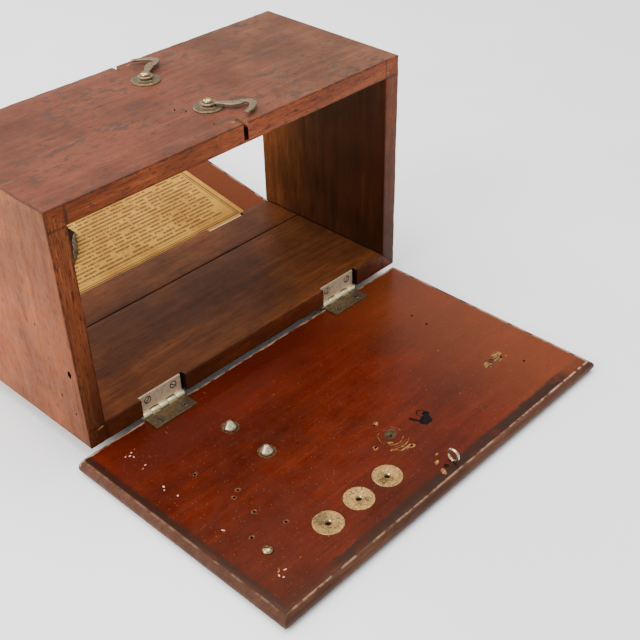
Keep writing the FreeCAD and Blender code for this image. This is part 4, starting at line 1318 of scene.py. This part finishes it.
# Raised lip of a disc's centre hole: radius, and height above the disc's face.
DISC_LIP = ((1.58, -1.1), (1.75, -0.70), (2.35, -0.13), (2.62, 0.01), (2.3, -0.4))
BRAD = ((0, -12), (0.55, -12), (0.55, -0.4), (0.75, -0.2), (0.7, -0.02), (0.35, 0.05), (0, 0.06))
BRAD_PLACES = ((142.5, 183.3), (135.3, 184.5))  # x and z


def on_flap(node):
    """Place on the flap's inner face above the middle of a CAD piece."""
    mid = centre(node)
    return mid.x, mid.y, FLAP_THK


def make_studs():
    for name in STUDS:
        where = on_flap(f"cone_stud_{name}")
        flange = lathe("flange", STUD_FLANGE, where, flange_tarnish_and_shade, 40)
        cone = lathe("cone", STUD_CONE, where, stud_brass, 14)
        settle(join(f"stud_{name}", [flange, cone]), FRONT_FLAP, [f"cone_stud_{name}"],
               16)


def make_dome_screw():
    where = on_flap("round_head_screw")
    head = lathe("dome_screw", DOME_SCREW, where, rivet_brass, 40)
    half = DOME_SLOT / 2
    groove = block("groove", (-half, -5, DOME_SLOT_FLOOR), (half, 5, 4), dark_slot)
    place(groove, at(*where, DOME_TURN))
    settle(carve(head, [groove]), FRONT_FLAP, ["round_head_screw"], 50)


def make_discs():
    for name, (seed, wear, turn, reach) in DISC_LOOKS.items():
        low, high = extent(f"pinhole_disc_{name}")
        mid, t, b = (low + high) / 2, high.z, low.z
        r, where = (high.x - low.x) / 2, (mid.x, mid.y, 0)
        smudge = (mid.x + SMUDGE_RADIUS * math.cos(math.radians(turn)),
                  mid.y + SMUDGE_RADIUS * math.sin(math.radians(turn)))
        tarnish = pitted_brass(f"disc_brass_{name}", seed, wear, (smudge, reach))
        disc = ringed("plate", [
            (1.62, b), (r - 0.1, b), (r, b + 0.1), (r, t - 0.22), (r - 0.2, t - 0.02), (r - 0.6, t),
            (2.6, t - 0.02), (2.35, t - 0.15), (1.75, t - 0.72)], where, tarnish, 72)
        # The lip is in brighter brass than the disc: a painted highlight in the hole.
        lip = ringed("lip", [(radius, t + rise) for radius, rise in DISC_LIP], where, rivet_brass,
                     72)
        settle(join(f"disc_{name}", [disc, lip]), FRONT_FLAP, [f"pinhole_disc_{name}"],
               30)


def make_brads():
    """Two nails in the top right corner of the front edge."""
    heads = [place(lathe("brad", BRAD, (0, 0, 0), iron, 16), at(x, -HALF_DEP, z, 90, "X"))
             for x, z in BRAD_PLACES]
    settle(join("brad_pair", heads), CASE, ["corner_brads"])


make_studs()
make_dome_screw()
make_discs()
make_brads()


# ---------------------------------------------------------------- paper label
# Left edge of the paper: distance from the hinge line, and x. It is torn in the middle.
TEAR = ((15.9, -52), (22, -49), (40, -40), (52, -31), (57, -25), (64, -18), (77, -9), (86, -4),
        (98, -5), (100.5, -12), (102, -60), (150, -60))
LABEL_LEFT, LABEL_RIGHT, LABEL_COLUMNS, ROW_STEP = -60, 128.2, 110, 1.2
PAPER_THK, PAPER_LIFT, PAPER_WAVE = 0.1, 0.12, 0.10
CURL_FROM, CURL_TO, CURL_STEPS, CURL_HEIGHT, CURL_LEAN = 52.0, 86.0, 18, 6.8, 0.7
# Outline, as x and distance from the hinge line, of a dark sheet that paints the shadow under the
# torn strip.
CURL_SHADOW_PATCH = ((-2.0, 97.5), (-8.5, 96.0), (-12.5, 89.0), (-16.0, 80.0), (-13.0, 76.0),
              (-6.0, 78.0), (0.0, 86.0))


def torn_left(s):
    """x of the paper's left edge at distance s from the hinge line."""
    for (s0, x0), (s1, x1) in zip(TEAR, TEAR[1:]):
        if s <= s1:
            x = x0 + (x1 - x0) * (s - s0) / (s1 - s0)
            return x + 0.9 * noise.noise(Vector((s * 0.45, 3.3, 0))) if x0 != x1 else x
    return TEAR[-1][1]


def paper_sheet():
    rows = stretch(TEAR[0][0], TEAR[-1][0], ROW_STEP)
    row, verts, faces = LABEL_COLUMNS + 1, [], []
    for s in rows:
        left = torn_left(s)
        for i in range(row):
            x = left + (LABEL_RIGHT - left) * (i / LABEL_COLUMNS) ** 1.5
            y = PIVOT_Y + s
            wave = max(0, noise.noise(Vector((x * 0.05, y * 0.05, 1.0))))
            verts.append((x, y, FLAP_THK + PAPER_LIFT + PAPER_WAVE * wave))
    for j in range(len(rows) - 1):
        for a in range(j * row, j * row + LABEL_COLUMNS):
            faces.append([a, a + 1, a + row + 1, a + row])
    low, high = (Vector((x, PIVOT_Y + s, 0)) for x, s in ((LABEL_LEFT, rows[0]),
                                                          (LABEL_RIGHT, rows[-1])))
    sheet = obj_from("sheet", verts, faces, printed_paper("old_paper", low, high))
    if sum(poly.normal.z for poly in sheet.data.polygons) < 0:
        sheet.data.flip_normals()
    thick = sheet.modifiers.new("thick", "SOLIDIFY")
    thick.thickness = PAPER_THK * MM
    thick.offset = -1
    return applied(sheet)


def paper_curl():
    """Torn strip that stands up along the tear."""
    rings = []
    for k in range(CURL_STEPS + 1):
        t = k / CURL_STEPS
        s = CURL_FROM + (CURL_TO - CURL_FROM) * t
        x, y = torn_left(s) + 0.3, PIVOT_Y + s
        rise = 0.15 + CURL_HEIGHT * math.sin(math.pi * t) ** 0.8
        bow = [(x - CURL_LEAN * rise * v * v, y, FLAP_THK + PAPER_LIFT + rise * v)
               for v in (0, 0.25, 0.5, 0.75, 1)]
        rings.append(bow + [(px + PAPER_LIFT, py, pz) for px, py, pz in bow[::-1]])
    return obj_from("curl", *loft(rings), paper_underside_in_shade("paper_underside_in_shade"))


def make_label():
    """Printed sheet, its standing torn strip and a dark patch of painted shadow under the strip;
    drawn lying.
    """
    patch = [[(x, PIVOT_Y + s, FLAP_THK + z) for x, s in CURL_SHADOW_PATCH] for z in (-0.1, 0.06)]
    label = join("label", [paper_sheet(), paper_curl(),
                           obj_from("curl_shadow", *loft(patch), dark_wood)])
    label.data.transform(RISEN)
    settle(label, REAR_FLAP, ["paper_label"], 60)


make_label()


# ---------------------------------------------------------------- stage
FLOOR_HALF, FLOOR_THK = 4000, 2
SKY, SKY_STRENGTH = (0.96, 0.97, 1.0, 1.0), 0.95
# Focal length in millimetres, shift of the picture, place in metres and view direction.
LENS, SHIFT = 59.27, (-0.0506, 0.0757)
EYE, LOOK = (-0.4148, -0.5365, 0.4840), (0.58079, 0.52667, -0.62073)
AIM = (0, 0, 0.05)
# Name, place in metres, size in metres, watts and colour.
LIGHTS = (("key", (-1.5, 0.15, 1.1), (1.3, 1.1), 38, (1.0, 0.98, 0.95)),
          ("over", (0.1, 0.1, 1.8), (1.6, 1.6), 43, (1.0, 1.0, 1.0)),
          ("rear", (-0.5, 1.9, 1.2), (1.2, 1.0), 28, (1.0, 0.98, 0.96)))


def make_stage():
    g = Graph("pale_floor")
    tone = g.noise(g.even(0.004), 3, 0.5)
    color = g.mix(g.ramp(tone, 0.3, 0.7), (0.88, 0.88, 0.885), (0.92, 0.92, 0.92))
    block("floor", (-FLOOR_HALF, -FLOOR_HALF, -FLOOR_THK), (FLOOR_HALF, FLOOR_HALF, 0),
                   g.finish(color, 0.6))
    world = bpy.data.worlds.new("studio")
    bpy.context.scene.world = world
    world.use_nodes = True
    back = world.node_tree.nodes["Background"]
    back.inputs["Color"].default_value = SKY
    back.inputs["Strength"].default_value = SKY_STRENGTH


def area_light(name, where, size, watts, tint):
    data = bpy.data.lights.new(name, "AREA")
    data.shape = "RECTANGLE"
    data.size, data.size_y = size
    data.energy = watts
    data.color = tint
    lamp = linked(bpy.data.objects.new(name, data))
    lamp.location = where
    lamp.rotation_euler = (Vector(AIM) - Vector(where)).to_track_quat("-Z", "Y").to_euler()


def make_camera():
    data = bpy.data.cameras.new("camera")
    data.lens = LENS
    data.sensor_width = 36
    data.shift_x, data.shift_y = SHIFT
    camera = linked(bpy.data.objects.new("camera", data))
    camera.location = EYE
    camera.rotation_euler = Vector(LOOK).to_track_quat("-Z", "Y").to_euler()
    bpy.context.scene.camera = camera


make_stage()
make_camera()
for light in LIGHTS:
    area_light(*light)
